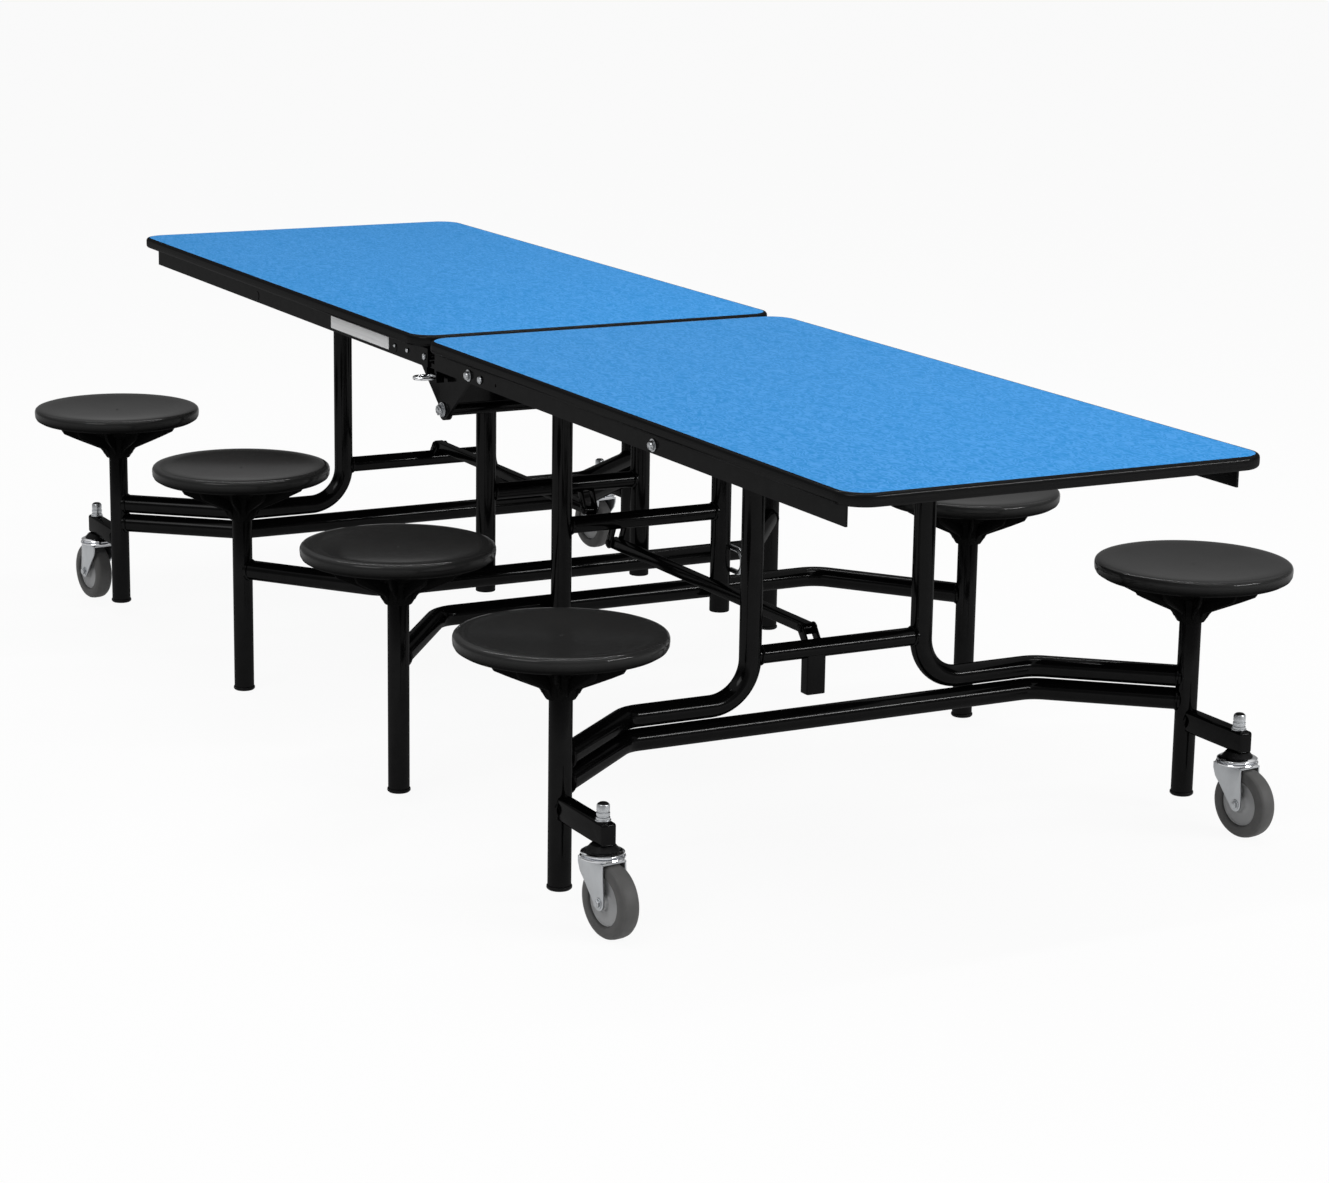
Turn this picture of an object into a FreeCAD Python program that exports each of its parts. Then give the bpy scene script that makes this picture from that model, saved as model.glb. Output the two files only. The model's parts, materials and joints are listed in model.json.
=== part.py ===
import FreeCAD, Part
import math
import os
from FreeCAD import Vector as V

# ---------------------------------------------------------------- driving dimensions (mm)
# Origin: middle of the table, on the floor. +X runs along the table, +Z is up.
table_length = 3073.4
table_width = 762.0
table_height = 737.0
top_gap = 22.0             # between the two halves
top_thickness = 22.0
laminate_thickness = 1.2
edge_band_width = 7.0
edge_band_round = 6.5
corner_radius = 50.0

rail_inset = 24.0          # table edge to the rail's outer face
rail_depth = 37.0
rail_flange = 38.0
rail_sheet = 4.0
rail_end_inset = 52.0
channel_width = 40.0
channel_depth = 20.0
channel_sheet = 3.0
centre_plate_depth = 99.0
rail_bolt_reach = 50.0     # inner axle to the plain bolt beside it
rail_hole_reach = 114.0    # inner axle to the small hole in each rail
rail_hole_radius = 3.0
rail_rivet_height = 18.0   # above the rail's lower edge
rail_rivet_radii = (3.2, 4.5, 6.0)

pivot_drop = 23.0          # underside to the axles that carry the frames
axle_radius = 8.0
hinge_drop = 115.0         # underside to the axle between the halves
hinge_axle_radius = 8.0
hinge_sleeve_radius = 12.7
hinge_plate_reach = 122.0
hinge_plate_sheet = 5.0
hinge_plate_inset = 24.0   # rail face to the outermost face of the plates
hinge_plate_apex = 20.0
plate_weld_inset = 14.0    # spacers and rivets from the ends of the plate

outer_leg_x = 880.0
inner_leg_x = 166.0
leg_y = 168.0
tube_radius = 19.05
tube_wall = 2.0
crossbar_radius = 15.9
leg_top_over = 11.5
leg_bend_radius = 75.0
arm_bend_radius = 60.0
arm_knee_reach = 19.0      # table side to where the arms turn out to the stool posts
upper_arm_z = 241.0
lower_tube_z = 200.0
outer_crossbar_z = 320.0
inner_crossbar_z = 398.0
inner_tube_z = 241.0
inner_leg_end_z = 203.0

outer_stool_x = 1055.0
outer_stool_reach = 225.0  # table side to the post axes
inner_stool_x = 378.0
inner_stool_reach = 207.0
outer_post_foot_z = 28.0   # the outer posts hang clear of the floor
foot_lip = 1.6
foot_height = 7.0

seat_top_z = 447.0
seat_radius = 170.0
seat_rim_height = 22.0
seat_dish = 3.0
seat_wall = 5.0
seat_pan_depth = 58.0
seat_hub_radius = 31.0
seat_hub_depth = 106.0
seat_rib_count = 8
seat_rib_sheet = 5.0
spindle_radius = 10.0
spindle_length = 42.0

caster_arm_reach = 150.0   # post axis to stem axis
caster_arm_z = 146.0       # underside
caster_arm_height = 38.0
caster_arm_width = 26.0
caster_arm_wall = 2.5
caster_arm_corner = 4.0
wheel_radius = 60.0
tyre_width = 34.0
hub_radius = 36.0
hub_width = 30.0
caster_trail = 22.0
caster_yaw = 8.0           # degrees, as the casters stand at rest
fork_sheet = 3.0
fork_gap = 3.0             # tyre side to fork leg
raceway_radius = 33.0
wheel_axle_radius = 5.0
stem_radius = 11.0
stem_height = 27.0
bushing_radius = 24.0
bushing_height = 9.0

link_offset_x = -24.0      # link pivots stand inboard of the leg planes
link_offset_y = -45.0
link_z = 350.0
link_width = 20.0
link_height = 19.0
link_wall = 1.6
link_corner = 2.4
link_pin_radius = 4.5
ear_sheet = 4.0
ear_radius = 9.5
stub_width = 36.0
stub_depth = 25.0
stub_length = 62.0

latch_rod_radius = 3.6
latch_x = -9.0             # middle of the handle, under the gap between the halves
latch_width = 27.0         # between the axes of its two rods
latch_drop = 17.0          # rail bottom to the handle
latch_inset = 12.0         # rail face to the pin, inwards
latch_reach = 32.0         # rail face to the end of the loop, outwards
latch_pin_radius = 3.0
latch_barrel_radius = 6.0
latch_barrel_over = 6.0
latch_cheek = 4.0
latch_cheek_reach = 7.5    # cheek edge from the pin's axis
latch_foot_length = 34.0   # cheek edge to the end of its foot on the rail
latch_foot_height = 9.0
label_length = 285.0
label_height = 24.0
label_sheet = 0.8
label_centre_x = -338.0
hook_rod_radius = 5.0
hook_radius = 22.0

running_clearance = 0.06
face_clearance = 0.3
open_pivot_clearance = 0.5

# ---------------------------------------------------------------- derived sizes
half_length = table_length / 2
half_width = table_width / 2
top_start = top_gap / 2
underside = table_height - top_thickness
rail_face = half_width - rail_inset
rail_bottom = underside - rail_depth
rail_start = top_start + 5.0
rail_end = half_length - rail_end_inset
pivot_height = underside - pivot_drop
hinge_height = underside - hinge_drop
centre_plate_bottom = underside - centre_plate_depth
hinge_plate_offset = rail_face - hinge_plate_inset
latch_z = rail_bottom - latch_drop
arm_knee_y = half_width + arm_knee_reach
outer_stool_y = half_width + outer_stool_reach
inner_stool_y = half_width + inner_stool_reach
leg_top = pivot_height + leg_top_over
seat_hub_z = seat_top_z - seat_hub_depth
post_top = seat_hub_z - face_clearance
wheel_z = wheel_radius
fork_inner = tyre_width / 2 + fork_gap
fork_width = 2 * (fork_inner + fork_sheet)
bushing_z = caster_arm_z - bushing_height
caster_arm_top = caster_arm_z + caster_arm_height
sides = (("left", -1), ("right", 1))


# ---------------------------------------------------------------- shape helpers
def cylinder(radius, start, direction, length):
    return Part.makeCylinder(radius, length, start, direction)


def cylinder_y(radius, x, z, y0, y1):
    return cylinder(radius, V(x, min(y0, y1), z), V(0, 1, 0), abs(y1 - y0))


def cylinder_z(radius, x, y, z0, z1):
    return cylinder(radius, V(x, y, z0), V(0, 0, 1), z1 - z0)


def box(x0, x1, y0, y1, z0, z1):
    return Part.makeBox(x1 - x0, y1 - y0, z1 - z0, V(x0, y0, z0))


def bent_path(points, radii):
    """Straight runs through the points, joined by tangent arcs."""
    edges = []
    start = points[0]
    for before, corner, after, radius in zip(points, points[1:], points[2:], radii):
        back = (before - corner).normalize()
        ahead = (after - corner).normalize()
        turn = math.pi - back.getAngle(ahead)
        reach = radius * math.tan(turn / 2)
        middle = (back + ahead).normalize()
        centre = corner + middle * (radius / math.cos(turn / 2))
        enter = corner + back * reach
        leave = corner + ahead * reach
        edges.append(Part.makeLine(start, enter))
        edges.append(Part.Arc(enter, centre - middle * radius, leave).toShape())
        start = leave
    edges.append(Part.makeLine(start, points[-1]))
    return Part.Wire(edges)


def swept(path, points, radius):
    ring = Part.Wire([Part.makeCircle(radius, points[0], points[1] - points[0])])
    return path.makePipeShell([ring], True, False)


def bent_tube(points, radii, radius, wall):
    """A round tube with open ends along a bent path."""
    path = bent_path(points, radii)
    return swept(path, points, radius).cut(swept(path, points, radius - wall))


def straight_tube(start, end, radius, wall):
    run = end - start
    outer = cylinder(radius, start, run, run.Length)
    return outer.cut(cylinder(radius - wall, start, run, run.Length))


def rounded_outline(x0, x1, y0, y1, radius, z):
    """A rectangle in the XY plane with rounded corners."""
    corners = [(x1 - radius, y1 - radius, 0), (x0 + radius, y1 - radius, 90),
               (x0 + radius, y0 + radius, 180), (x1 - radius, y0 + radius, 270)]
    arcs = []
    for cx, cy, start in corners:
        arcs.append([V(cx + radius * math.cos(math.radians(start + step)),
                       cy + radius * math.sin(math.radians(start + step)), z)
                     for step in (0, 45, 90)])
    edges = []
    for index, arc in enumerate(arcs):
        edges.append(Part.Arc(*arc).toShape())
        edges.append(Part.makeLine(arc[2], arcs[(index + 1) % 4][0]))
    return Part.Wire(edges)


def rounded_slab(x0, x1, y0, y1, radius, z0, z1):
    face = Part.Face(rounded_outline(x0, x1, y0, y1, radius, z0))
    return face.extrude(V(0, 0, z1 - z0))


def box_tube(length, width, height, wall, corner):
    """A rectangular tube along +X from the origin, centred on Y and Z."""
    outer = rounded_slab(-height / 2, height / 2, -width / 2, width / 2, corner, 0, length)
    bore = rounded_slab(wall - height / 2, height / 2 - wall, wall - width / 2, width / 2 - wall,
                        corner - wall / 2, 0, length)
    tube = outer.cut(bore)
    tube.rotate(V(0, 0, 0), V(0, 1, 0), 90)
    return tube


def profile_plate(points, thickness, y):
    """A plate in the XZ plane from y to y + thickness."""
    wire = Part.makePolygon([V(px, y, pz) for px, pz in points + points[:1]])
    return Part.Face(wire).extrude(V(0, thickness, 0))


def group(solids):
    return Part.makeCompound(solids)


def other_half(shape):
    """The far half is the near half turned half a turn about the vertical axis."""
    turned = shape.copy()
    turned.rotate(V(0, 0, 0), V(0, 0, 1), 180)
    return turned


def bolt_y(x, z, face_y, out, head_radius, head_height, washer_radius=0.0):
    """A domed bolt head, with a washer if asked, standing on a face across Y."""
    pieces = []
    if washer_radius:
        pieces.append(cylinder_y(washer_radius, x, z, face_y, face_y + out * 2.0))
        face_y += out * 2.0
    head = cylinder_y(head_radius, x, z, face_y, face_y + out * head_height)
    rim = [edge for edge in head.Edges
           if abs(edge.BoundBox.YMax - edge.BoundBox.YMin) < 0.01
           and abs(edge.BoundBox.YMax - (face_y + out * head_height)) < 0.01]
    pieces.append(head.makeFillet(head_height * 0.6, rim))
    return pieces


# ---------------------------------------------------------------- table tops
def top_laminate():
    inset = edge_band_width
    return rounded_slab(top_start + inset, half_length - inset, inset - half_width,
                        half_width - inset, corner_radius - inset,
                        table_height - laminate_thickness, table_height)


def top_panel():
    inset = edge_band_width
    return rounded_slab(top_start + inset, half_length - inset, inset - half_width,
                        half_width - inset, corner_radius - inset,
                        underside, table_height - laminate_thickness)


def top_edge_band():
    inset = edge_band_width
    slab = rounded_slab(top_start, half_length, -half_width, half_width, corner_radius,
                        underside, table_height)
    rims = [edge for edge in slab.Edges if edge.BoundBox.ZLength < 0.01]
    slab = slab.makeFillet(edge_band_round, rims)
    core = rounded_slab(top_start + inset, half_length - inset, inset - half_width,
                        half_width - inset, corner_radius - inset,
                        underside - 1.0, table_height + 1.0)
    return slab.cut(core)


def side_rails():
    rails = []
    for name, side in sides:
        inner = rail_face - rail_sheet
        web = box(rail_start, rail_end, inner, rail_face, rail_bottom, underside)
        flange = box(rail_start, rail_end, rail_face - rail_flange, inner,
                     underside - rail_sheet, underside)
        rail = web.fuse(flange).removeSplitter()
        corner = [edge for edge in rail.Edges
                  if abs(edge.BoundBox.YMin - rail_face) < 0.01
                  and abs(edge.BoundBox.ZMax - underside) < 0.01 and edge.Length > rail_depth * 2]
        rail = rail.makeFillet(rail_sheet * 0.7, corner)
        for x in (outer_leg_x, inner_leg_x):
            rail = rail.cut(cylinder_y(axle_radius, x, pivot_height, inner - 1, rail_face + 1))
        rail = rail.cut(cylinder_y(rail_hole_radius, inner_leg_x + rail_hole_reach, pivot_height,
                                   inner - 1, rail_face + 1))
        rails.append(rail if side > 0 else rail.mirror(V(0, 0, 0), V(0, 1, 0)))
    return group(rails)


def channel(x0, depth, half_span):
    """A U channel across the table, open upwards against the panel."""
    outer = box(x0, x0 + channel_width, -half_span, half_span, underside - depth, underside)
    hollow = box(x0 + channel_sheet, x0 + channel_width - channel_sheet, -half_span - 1,
                 half_span + 1, underside - depth + channel_sheet, underside + 1)
    return outer.cut(hollow)


def cross_channels():
    span = rail_face - rail_flange - 1.0
    centre_x = top_start + 15.0
    centre = box(centre_x, centre_x + channel_sheet, -span, span, centre_plate_bottom, underside)
    lip = box(centre_x + channel_sheet, centre_x + channel_width, -span, span,
              underside - channel_sheet, underside)
    middle_x = (inner_leg_x + outer_leg_x) / 2 - channel_width / 2
    outer_x = (outer_leg_x + half_length) / 2 - channel_width / 2
    return group([centre.fuse(lip).removeSplitter(), channel(middle_x, channel_depth, span),
                  channel(outer_x, channel_depth, span)])


def hinge_plate_outline():
    """A triangle from the rail down to a rounded apex about the hinge axle."""
    reach = hinge_plate_reach
    shoulder = rail_bottom - 4.0
    top = underside - rail_sheet - 3.0
    points = [(reach, shoulder), (reach, top), (rail_start + 2.0, top), (rail_start + 2.0, shoulder),
              (rail_start - 28.0, shoulder)]
    for step in range(13):
        angle = math.radians(200 + step * 10)
        points.append((hinge_plate_apex * math.cos(angle),
                       hinge_height + hinge_plate_apex * math.sin(angle)))
    return points


def hinge_plates():
    """Outer plate on the left, inner plate on the right, so that the halves nest."""
    plates = []
    inner_face = hinge_plate_offset - 2 * hinge_plate_sheet - 1.5
    for y in (-hinge_plate_offset, inner_face):
        plate = profile_plate(hinge_plate_outline(), hinge_plate_sheet, y)
        bore = hinge_axle_radius + running_clearance
        plate = plate.cut(cylinder_y(bore, 0, hinge_height, y - 1, y + hinge_plate_sheet + 1))
        plates.append(plate)
        flange_y = rail_face - rail_sheet
        web = (y, -flange_y) if y < 0 else (y + hinge_plate_sheet, flange_y)
        for x in (rail_start + plate_weld_inset, hinge_plate_reach - plate_weld_inset):
            plates.append(cylinder_y(7.0, x, rail_bottom + rail_rivet_height, web[0], web[1]))
    return group(plates)


def pivot_axles():
    """Two axles across the half, headed on the left rail; bolt and rivets of the rails."""
    pieces = []
    for x in (outer_leg_x, inner_leg_x):
        pieces.append(cylinder_y(axle_radius, x, pivot_height, -rail_face, rail_face))
        pieces += bolt_y(x, pivot_height, -rail_face, -1, 8.0, 7.0, 11.0)
        for side in (-1, 1):
            inner = side * (rail_face - rail_sheet)
            ring = cylinder_y(13.0, x, pivot_height, inner, inner - side * 6.0)
            pieces.append(ring.cut(cylinder_y(axle_radius, x, pivot_height, -rail_face, rail_face)))
    pieces += bolt_y(inner_leg_x + rail_bolt_reach, pivot_height, -rail_face, -1, 7.5, 5.0)
    rivets = (inner_leg_x, hinge_plate_reach - plate_weld_inset, rail_start + plate_weld_inset)
    for x, radius in zip(rivets, rail_rivet_radii):
        pieces += bolt_y(x, rail_bottom + rail_rivet_height, rail_face, 1, radius, 3.0)
    return group(pieces)


def hinge_axle():
    """Rod through the four hinge plates, with a sleeve between them and nuts outside."""
    end = hinge_plate_offset + 3.0
    inner = hinge_plate_offset - 2 * hinge_plate_sheet - 2.0
    pieces = [cylinder_y(hinge_axle_radius, 0, hinge_height, -end, end)]
    sleeve = cylinder_y(hinge_sleeve_radius, 0, hinge_height, -inner, inner)
    pieces.append(sleeve.cut(pieces[0]))
    for side in (-1, 1):
        washer = cylinder_y(14.0, 0, hinge_height, side * (hinge_plate_offset + face_clearance),
                            side * end)
        pieces.append(washer.cut(pieces[0]))
        pieces += bolt_y(0, hinge_height, side * end, side, 10.0, 9.0, 13.0)
    return group(pieces)


# ---------------------------------------------------------------- frames
def post_tube(x, y, foot_z):
    """Stool post with a closed top and the spindle that its seat turns on."""
    tube = straight_tube(V(x, y, foot_z + foot_height), V(x, y, post_top), tube_radius, tube_wall)
    bore = tube_radius - tube_wall
    plug = cylinder_z(bore, x, y, post_top - 20.0, post_top)
    spindle = cylinder_z(spindle_radius, x, y, post_top, post_top + spindle_length)
    return group([tube, plug.fuse(spindle).removeSplitter()])


def post_foot(x, y, foot_z):
    """End cap with a lip that covers the tube's edge and a plug inside it."""
    lip = cylinder_z(tube_radius + foot_lip, x, y, foot_z, foot_z + foot_height)
    rim = [edge for edge in lip.Edges
           if edge.BoundBox.ZLength < 0.01 and abs(edge.BoundBox.ZMin - foot_z) < 0.01]
    plug = cylinder_z(tube_radius - tube_wall, x, y, foot_z + foot_height, foot_z + 30.0)
    return lip.makeFillet(2.5, rim).fuse(plug).removeSplitter()


def post_solid(x, y):
    return cylinder_z(tube_radius, x, y, 0, post_top)


def axle_bore(x, y):
    bore = axle_radius + running_clearance
    return cylinder_y(bore, x, pivot_height, y - tube_radius - 1, y + tube_radius + 1)


def outer_leg(side):
    """Leg from the axle down, J-bend, and arm out to the stool post."""
    y = side * leg_y
    points = [V(outer_leg_x, y, leg_top), V(outer_leg_x, y, upper_arm_z),
              V(outer_leg_x, side * arm_knee_y, upper_arm_z),
              V(outer_stool_x, side * outer_stool_y, upper_arm_z)]
    tube = bent_tube(points, [leg_bend_radius, arm_bend_radius], tube_radius, tube_wall)
    tube = tube.cut(post_solid(outer_stool_x, side * outer_stool_y))
    tube = max(tube.Solids, key=lambda solid: solid.Volume)
    return tube.cut(axle_bore(outer_leg_x, y))


def leg_solid(x, side):
    return cylinder_z(tube_radius, x, side * leg_y, inner_leg_end_z, leg_top)


def crossbar(x, z):
    bar = straight_tube(V(x, -leg_y, z), V(x, leg_y, z), crossbar_radius, tube_wall)
    for name, side in sides:
        bar = bar.cut(leg_solid(x, side))
    return max(bar.Solids, key=lambda solid: solid.Volume)


def post_to_post_tube(knee_x, stool_x, stool_y, z):
    """Tube in the leg plane that turns out at both ends to the stool posts."""
    points = [V(stool_x, -stool_y, z), V(knee_x, -arm_knee_y, z), V(knee_x, arm_knee_y, z),
              V(stool_x, stool_y, z)]
    tube = bent_tube(points, [arm_bend_radius, arm_bend_radius], tube_radius, tube_wall)
    for name, side in sides:
        tube = tube.cut(post_solid(stool_x, side * stool_y))
    return max(tube.Solids, key=lambda solid: solid.Volume)


def link_ears(leg_x, bar_z, pin_radius):
    """Two ears from the crossbar to the link's pivot, and the pin through them."""
    pivot_x = leg_x + link_offset_x
    gap = link_width / 2 + face_clearance
    bar = cylinder_y(crossbar_radius, leg_x, bar_z, -leg_y, leg_y)
    pin = cylinder_y(pin_radius, pivot_x, link_z, link_offset_y - gap - ear_sheet,
                     link_offset_y + gap + ear_sheet)
    pieces = [pin]
    run = V(pivot_x - leg_x, 0, link_z - bar_z)
    normal = V(-run.z, 0, run.x).normalize() * (ear_radius - 1.0)
    corners = [(leg_x + normal.x, bar_z + normal.z), (pivot_x + normal.x, link_z + normal.z),
               (pivot_x - normal.x, link_z - normal.z), (leg_x - normal.x, bar_z - normal.z)]
    for side in (-1, 1):
        inner_face = link_offset_y + side * gap
        outer_face = inner_face + side * ear_sheet
        low = min(inner_face, outer_face)
        ear = profile_plate(corners, ear_sheet, low)
        ear = ear.fuse(cylinder_y(ear_radius, pivot_x, link_z, low, low + ear_sheet))
        ear = ear.removeSplitter().cut(bar).cut(pin)
        pieces.append(max(ear.Solids, key=lambda solid: solid.Volume))
        pieces += bolt_y(pivot_x, link_z, outer_face, side, 7.0, 3.5)
    return pieces


def stop_stub():
    """Short rectangular tube under the outer crossbar, closed at its lower end."""
    z1 = outer_crossbar_z
    z0 = z1 - crossbar_radius - stub_length
    stub = rounded_slab(outer_leg_x - stub_depth / 2, outer_leg_x + stub_depth / 2,
                        link_offset_y - stub_width / 2, link_offset_y + stub_width / 2, 4.0, z0, z1)
    bore = rounded_slab(outer_leg_x - stub_depth / 2 + tube_wall,
                        outer_leg_x + stub_depth / 2 - tube_wall,
                        link_offset_y - stub_width / 2 + tube_wall,
                        link_offset_y + stub_width / 2 - tube_wall, 2.5, z0 + 4.0, z1)
    bar = cylinder_y(crossbar_radius, outer_leg_x, outer_crossbar_z, -leg_y, leg_y)
    stub = stub.cut(bore).cut(bar)
    return max(stub.Solids, key=lambda solid: solid.Volume)


def outer_cross_tubes():
    lower = post_to_post_tube(outer_leg_x, outer_stool_x, outer_stool_y, lower_tube_z)
    return group([crossbar(outer_leg_x, outer_crossbar_z), lower]
                 + link_ears(outer_leg_x, outer_crossbar_z, link_pin_radius - running_clearance))


def inner_legs():
    """Straight legs with closed lower ends."""
    pieces = []
    for name, side in sides:
        y = side * leg_y
        tube = straight_tube(V(inner_leg_x, y, inner_leg_end_z + 3.0), V(inner_leg_x, y, leg_top),
                             tube_radius, tube_wall)
        pieces.append(tube.cut(axle_bore(inner_leg_x, y)))
        cap = cylinder_z(tube_radius, inner_leg_x, y, inner_leg_end_z, inner_leg_end_z + 3.0)
        pieces.append(cap)
    return group(pieces)


def inner_cross_tubes():
    tube_x = inner_leg_x - 2 * tube_radius
    lower = post_to_post_tube(tube_x, inner_stool_x, inner_stool_y, inner_tube_z)
    return group([crossbar(inner_leg_x, inner_crossbar_z), lower]
                 + link_ears(inner_leg_x, inner_crossbar_z,
                             link_pin_radius - open_pivot_clearance))


def stool_posts(x, y, foot_z):
    return group([solid for name, side in sides
                  for solid in post_tube(x, side * y, foot_z).Solids])


def post_feet(x, y, foot_z):
    return group([post_foot(x, side * y, foot_z) for name, side in sides])


def drag_link():
    """Rectangular tube between the link pivots, with rounded ends."""
    x0 = inner_leg_x + link_offset_x
    x1 = outer_leg_x + link_offset_x
    nose = link_height / 2 - 1.0
    tube = box_tube(x1 - x0 + 2 * nose, link_width, link_height, link_wall, link_corner)
    tube.translate(V(x0 - nose, link_offset_y, link_z))
    y0 = link_offset_y - link_width / 2
    y1 = link_offset_y + link_width / 2
    for x in (x0, x1):
        tube = tube.cut(cylinder_y(link_pin_radius, x, link_z, y0 - 1, y1 + 1))
    return tube


# ---------------------------------------------------------------- casters
def caster_arm(side):
    length = caster_arm_reach + 22.0
    arm = box_tube(length, caster_arm_width, caster_arm_height, caster_arm_wall, caster_arm_corner)
    y = side * outer_stool_y
    arm.translate(V(outer_stool_x, y, caster_arm_z + caster_arm_height / 2))
    end_x = outer_stool_x + length
    cap = rounded_slab(-caster_arm_height / 2 + caster_arm_wall,
                       caster_arm_height / 2 - caster_arm_wall,
                       -caster_arm_width / 2 + caster_arm_wall,
                       caster_arm_width / 2 - caster_arm_wall,
                       caster_arm_corner - caster_arm_wall / 2, 0, 3.0)
    cap.rotate(V(0, 0, 0), V(0, 1, 0), 90)
    cap.translate(V(end_x - 3.0, y, caster_arm_z + caster_arm_height / 2))
    arm = arm.fuse(cap).removeSplitter().cut(post_solid(outer_stool_x, y))
    stem = cylinder_z(stem_radius - 4.0, outer_stool_x + caster_arm_reach, y, 0, table_height)
    return max(arm.cut(stem).Solids, key=lambda solid: solid.Volume)


def caster_stem(side):
    """Threaded stem through the arm, nut on top, tapered bushing below."""
    x = outer_stool_x + caster_arm_reach
    y = side * outer_stool_y
    shank = stem_radius - 4.0
    bottom = caster_arm_z - bushing_height - 3.0
    turned = [(0, bottom), (shank, bottom), (shank, caster_arm_top), (stem_radius, caster_arm_top)]
    top = caster_arm_top + stem_height
    for groove in (7.0, 13.0, 19.0):
        z = caster_arm_top + groove
        turned += [(stem_radius, z), (stem_radius - 1.2, z + 0.8), (stem_radius, z + 1.6)]
    turned += [(stem_radius, top - 3.0), (stem_radius - 3.0, top), (0, top)]
    face = Part.Face(Part.makePolygon([V(r, 0, z) for r, z in turned + turned[:1]]))
    nut = face.revolve(V(0, 0, 0), V(0, 0, 1), 360)
    nut.translate(V(x, y, 0))
    bushing = Part.makeCone(bushing_radius, bushing_radius - 5.0, bushing_height,
                            V(x, y, bushing_z), V(0, 0, 1))
    bushing = bushing.cut(cylinder_z(shank, x, y, 0, table_height))
    return [nut, bushing]


def caster_fork(side):
    """Raceway, crown and two tapering legs, with the wheel's axle bolt and nut."""
    top = bushing_z - face_clearance
    crown_z = top - 9.0
    ring = cylinder_z(raceway_radius, 0, 0, crown_z, top)
    rims = [edge for edge in ring.Edges if edge.BoundBox.ZLength < 0.01]
    ring = ring.makeFillet(3.5, rims)
    ring = ring.cut(cylinder_z(stem_radius - 4.0 + running_clearance, 0, 0, crown_z - 1, top + 1))
    crown = rounded_slab(-raceway_radius, raceway_radius, -fork_width / 2, fork_width / 2, 4.0,
                         crown_z - fork_sheet, crown_z)
    body = ring.fuse(crown)
    for leg_side in (-1, 1):
        leg = fork_leg()
        leg.translate(V(0, leg_side * (fork_inner + fork_sheet / 2) - fork_sheet / 2, 0))
        body = body.fuse(leg)
    axle = cylinder_y(wheel_axle_radius, caster_trail, wheel_z, -fork_width / 2, fork_width / 2)
    body = body.removeSplitter().cut(axle)
    pieces = [max(body.Solids, key=lambda solid: solid.Volume), axle]
    for end in (-1, 1):
        pieces += bolt_y(caster_trail, wheel_z, end * fork_width / 2, end, 8.0, 5.0)
    return place_caster(group(pieces), side)


def fork_leg():
    """One side plate of the fork, wide under the crown and narrow at the axle."""
    crown_z = bushing_z - face_clearance - 9.0 - fork_sheet
    eye = 12.0
    points = [(-raceway_radius + 3.0, crown_z), (-raceway_radius + 6.0, crown_z - 22.0)]
    for step in range(13):
        angle = math.radians(200 + step * 14)
        points.append((caster_trail + eye * math.cos(angle), wheel_z + eye * math.sin(angle)))
    points.append((raceway_radius - 1.0, crown_z))
    return profile_plate(points, fork_sheet, 0)


def wheel_hub(side):
    """Disc hub with a raised boss that runs on the axle bolt."""
    bore = wheel_axle_radius + running_clearance
    boss = fork_inner - face_clearance
    outline = [(bore, -boss), (13.0, -boss), (15.0, -hub_width / 2 + 3.0),
               (hub_radius - 8.0, -hub_width / 2 + 6.0), (hub_radius - 3.0, -hub_width / 2),
               (hub_radius, -hub_width / 2), (hub_radius, hub_width / 2),
               (hub_radius - 3.0, hub_width / 2), (hub_radius - 8.0, hub_width / 2 - 6.0),
               (15.0, hub_width / 2 - 3.0), (13.0, boss), (bore, boss)]
    return place_caster(wheel_solid(outline), side)


def tyre(side):
    half = tyre_width / 2
    outline = [(hub_radius, -half + 1.0), (hub_radius + 3.0, -half), (wheel_radius - 9.0, -half),
               (wheel_radius - 3.5, -half + 3.5), (wheel_radius, -half + 9.0),
               (wheel_radius, half - 9.0), (wheel_radius - 3.5, half - 3.5),
               (wheel_radius - 9.0, half), (hub_radius + 3.0, half), (hub_radius, half - 1.0)]
    return place_caster(wheel_solid(outline), side)


def wheel_solid(outline):
    """Revolve (radius, width) points about the wheel's axle."""
    points = [V(caster_trail + r, w, wheel_z) for r, w in outline + outline[:1]]
    face = Part.Face(Part.makePolygon(points))
    return face.revolve(V(caster_trail, 0, wheel_z), V(0, 1, 0), 360)


def place_caster(shape, side):
    """Turn a caster piece by the resting yaw and stand it under its stem."""
    shape.rotate(V(0, 0, 0), V(0, 0, 1), caster_yaw)
    shape.translate(V(outer_stool_x + caster_arm_reach, side * outer_stool_y, 0))
    return shape


# ---------------------------------------------------------------- seats
def seat_hollow(top, underside_z, pan_z):
    """The closed space between the seat's skin and its pan."""
    wall = seat_wall
    start = seat_hub_radius + wall
    edge = seat_radius
    outline = [(start, top - seat_dish - wall), (edge - 18.0, top - wall - 1.5),
               (edge - wall, top - 16.0), (edge - wall, top - seat_rim_height + 2.0),
               (edge - 14.0, underside_z + wall), (edge * 0.56, pan_z + wall),
               (edge * 0.3, pan_z - 6.0 + wall), (start, pan_z - 8.0 + wall)]
    face = Part.Face(Part.makePolygon([V(r, 0, z) for r, z in outline + outline[:1]]))
    return face.revolve(V(0, 0, 0), V(0, 0, 1), 360)


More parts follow.
